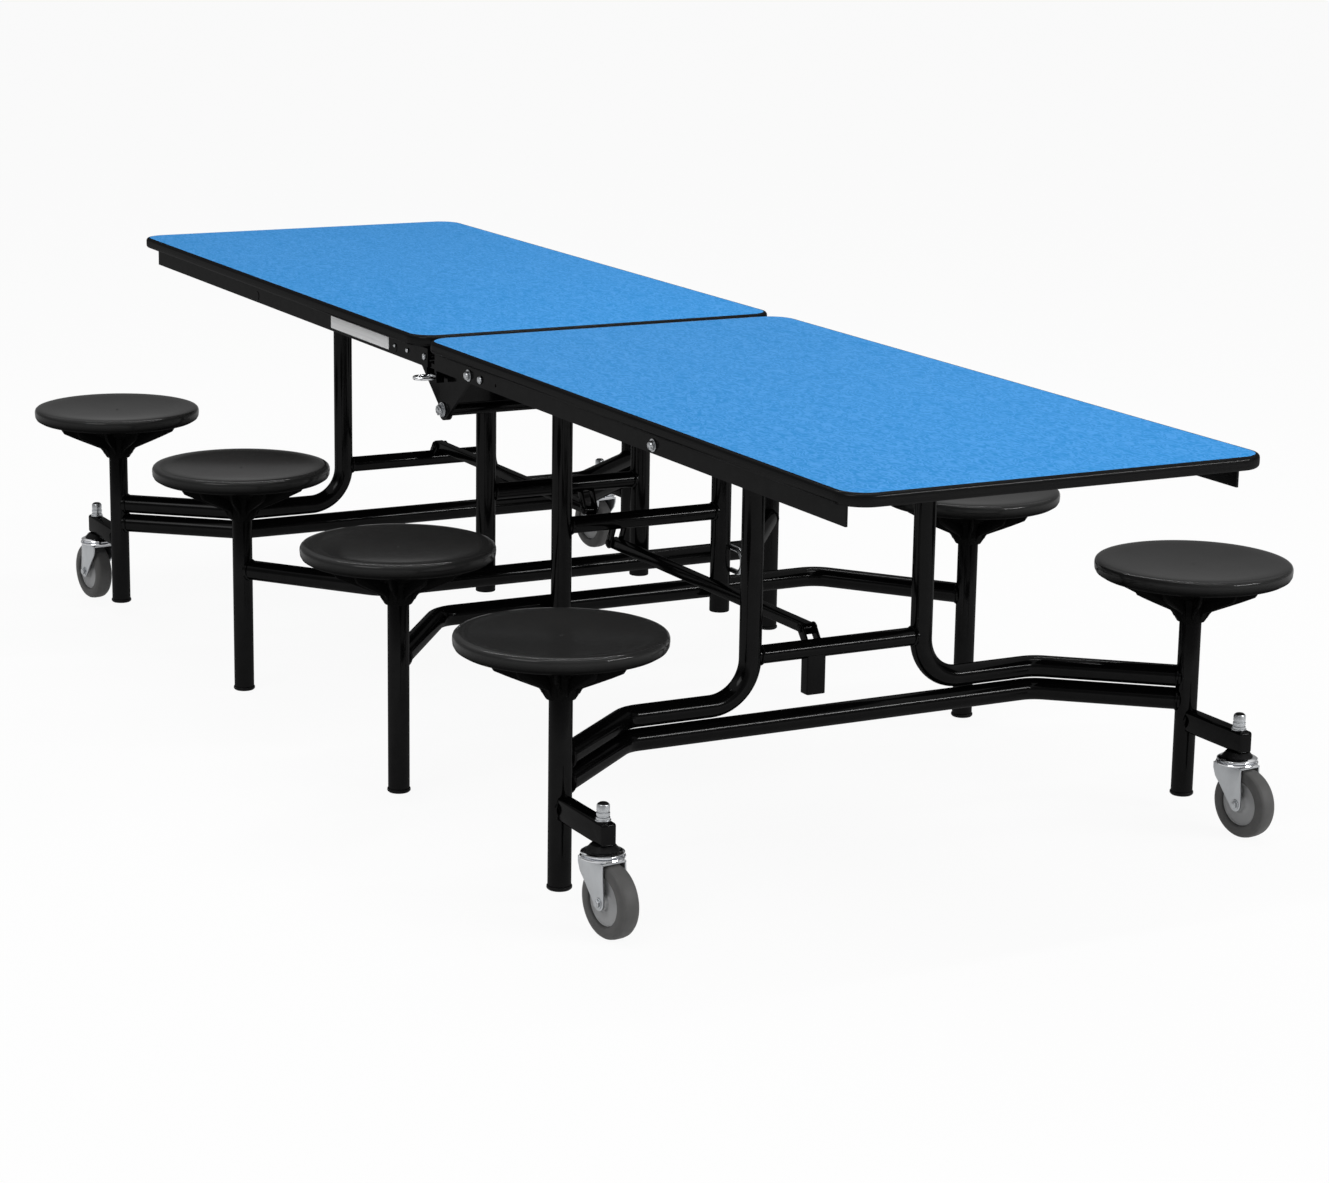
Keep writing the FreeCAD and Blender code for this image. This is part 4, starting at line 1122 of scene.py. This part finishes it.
def build_camera():
    """A long lens at standing height, off the near left corner."""
    image_width, focal_pixels = 1329, 3346.2
    azimuth, elevation, roll = (math.radians(angle) for angle in (61.9, 13.5, 0.9))
    back = Vector((math.sin(azimuth) * math.cos(elevation),
                   -math.cos(azimuth) * math.cos(elevation), math.sin(elevation)))
    right = Vector((0, 0, 1)).cross(back).normalized()
    up = back.cross(right)
    side = right * math.cos(roll) + up * math.sin(roll)
    top = up * math.cos(roll) - right * math.sin(roll)
    lens = bpy.data.cameras.new("studio_camera")
    lens.sensor_width = 36.0
    lens.lens = focal_pixels / image_width * lens.sensor_width
    lens.clip_start, lens.clip_end = 0.05, 200.0
    camera = bpy.data.objects.new("studio_camera", lens)
    bpy.context.scene.collection.objects.link(camera)
    turn = Matrix((side, top, back)).transposed().to_4x4()
    turn.translation = (5.5791, -2.8410, 1.7253)
    camera.matrix_world = turn
    bpy.context.scene.camera = camera


# ---- operators
class StoolTableOperator:
    """What the operators share"""
    bl_options = {"REGISTER", "UNDO"}


class STOOLTABLE_OT_tops(StoolTableOperator, bpy.types.Operator):
    """Make both table tops: laminate sheet, moulded edge and board"""
    bl_idname = "stool_table.tops"
    bl_label = "Table tops"

    def execute(self, context):
        for half in HALVES:
            build_top(half)
        return {"FINISHED"}


class STOOLTABLE_OT_rails(StoolTableOperator, bpy.types.Operator):
    """Finish the rails, channels and hinge plates under the tops"""
    bl_idname = "stool_table.rails"
    bl_label = "Rails and hinge plates"

    def execute(self, context):
        for half in HALVES:
            build_rails(half)
        return {"FINISHED"}


class STOOLTABLE_OT_frames(StoolTableOperator, bpy.types.Operator):
    """Make the bent tube frames, their posts, feet and links"""
    bl_idname = "stool_table.frames"
    bl_label = "Tube frames"

    def execute(self, context):
        for half in HALVES:
            build_outer_frame(half)
            build_inner_frame(half)
            for kind in KINDS:
                build_posts(half, kind)
            build_link(half)
        return {"FINISHED"}


class STOOLTABLE_OT_casters(StoolTableOperator, bpy.types.Operator):
    """Make the caster arms, stems, forks, hubs and tyres"""
    bl_idname = "stool_table.casters"
    bl_label = "Casters"

    def execute(self, context):
        for half in HALVES:
            build_caster_arms(half)
            for side in SIDES:
                build_fork(half, side)
                build_wheel(half, side)
        return {"FINISHED"}


class STOOLTABLE_OT_seats(StoolTableOperator, bpy.types.Operator):
    """Make the eight swivel seats"""
    bl_idname = "stool_table.seats"
    bl_label = "Swivel seats"

    def execute(self, context):
        for half in HALVES:
            for side in SIDES:
                for kind in KINDS:
                    build_seat(half, side, kind)
        return {"FINISHED"}


class STOOLTABLE_OT_hardware(StoolTableOperator, bpy.types.Operator):
    """Make the pivot bolts, hinge pin, latch, hook and blank label"""
    bl_idname = "stool_table.hardware"
    bl_label = "Bolts, latch and label"

    def execute(self, context):
        for half in HALVES:
            build_pivot_bolts(half)
        build_hinge()
        build_latch()
        build_lock_hook()
        build_label()
        return {"FINISHED"}


class STOOLTABLE_OT_studio(StoolTableOperator, bpy.types.Operator):
    """Set the pale floor, soft lights and the camera"""
    bl_idname = "stool_table.studio"
    bl_label = "Studio"

    def execute(self, context):
        build_floor()
        build_world()
        build_lights()
        build_camera()
        context.scene.view_settings.view_transform = "Standard"
        return {"FINISHED"}


STEPS = (STOOLTABLE_OT_tops, STOOLTABLE_OT_rails, STOOLTABLE_OT_frames, STOOLTABLE_OT_casters,
         STOOLTABLE_OT_seats, STOOLTABLE_OT_hardware, STOOLTABLE_OT_studio)


class STOOLTABLE_PT_panel(bpy.types.Panel):
    """Sizes, colours and steps of the table"""
    bl_idname = "STOOLTABLE_PT_panel"
    bl_label = "Stool Table"
    bl_space_type = "VIEW_3D"
    bl_region_type = "UI"
    bl_category = "Stool Table"

    def draw(self, context):
        layout = self.layout
        for step in STEPS:
            layout.operator(step.bl_idname)
        for title, group in (("Sizes", context.scene.stool_table_sizes),
                             ("Colours", context.scene.stool_table_colours)):
            box = layout.box()
            box.label(text=title)
            for name in group.bl_rna.properties.keys():
                if name not in {"rna_type", "name"}:
                    box.prop(group, name)


CLASSES = (StoolTableSizes, StoolTableColours) + STEPS + (STOOLTABLE_PT_panel,)


def register():
    for kind in CLASSES:
        bpy.utils.register_class(kind)
    bpy.types.Scene.stool_table_sizes = bpy.props.PointerProperty(type=StoolTableSizes)
    bpy.types.Scene.stool_table_colours = bpy.props.PointerProperty(type=StoolTableColours)


def unregister():
    del bpy.types.Scene.stool_table_colours
    del bpy.types.Scene.stool_table_sizes
    for kind in reversed(CLASSES):
        bpy.utils.unregister_class(kind)


def main():
    register()
    bpy.ops.stool_table.tops()
    bpy.ops.stool_table.rails()
    bpy.ops.stool_table.frames()
    bpy.ops.stool_table.casters()
    bpy.ops.stool_table.seats()
    bpy.ops.stool_table.hardware()
    bpy.ops.stool_table.studio()


if __name__ == "__main__":
    main()
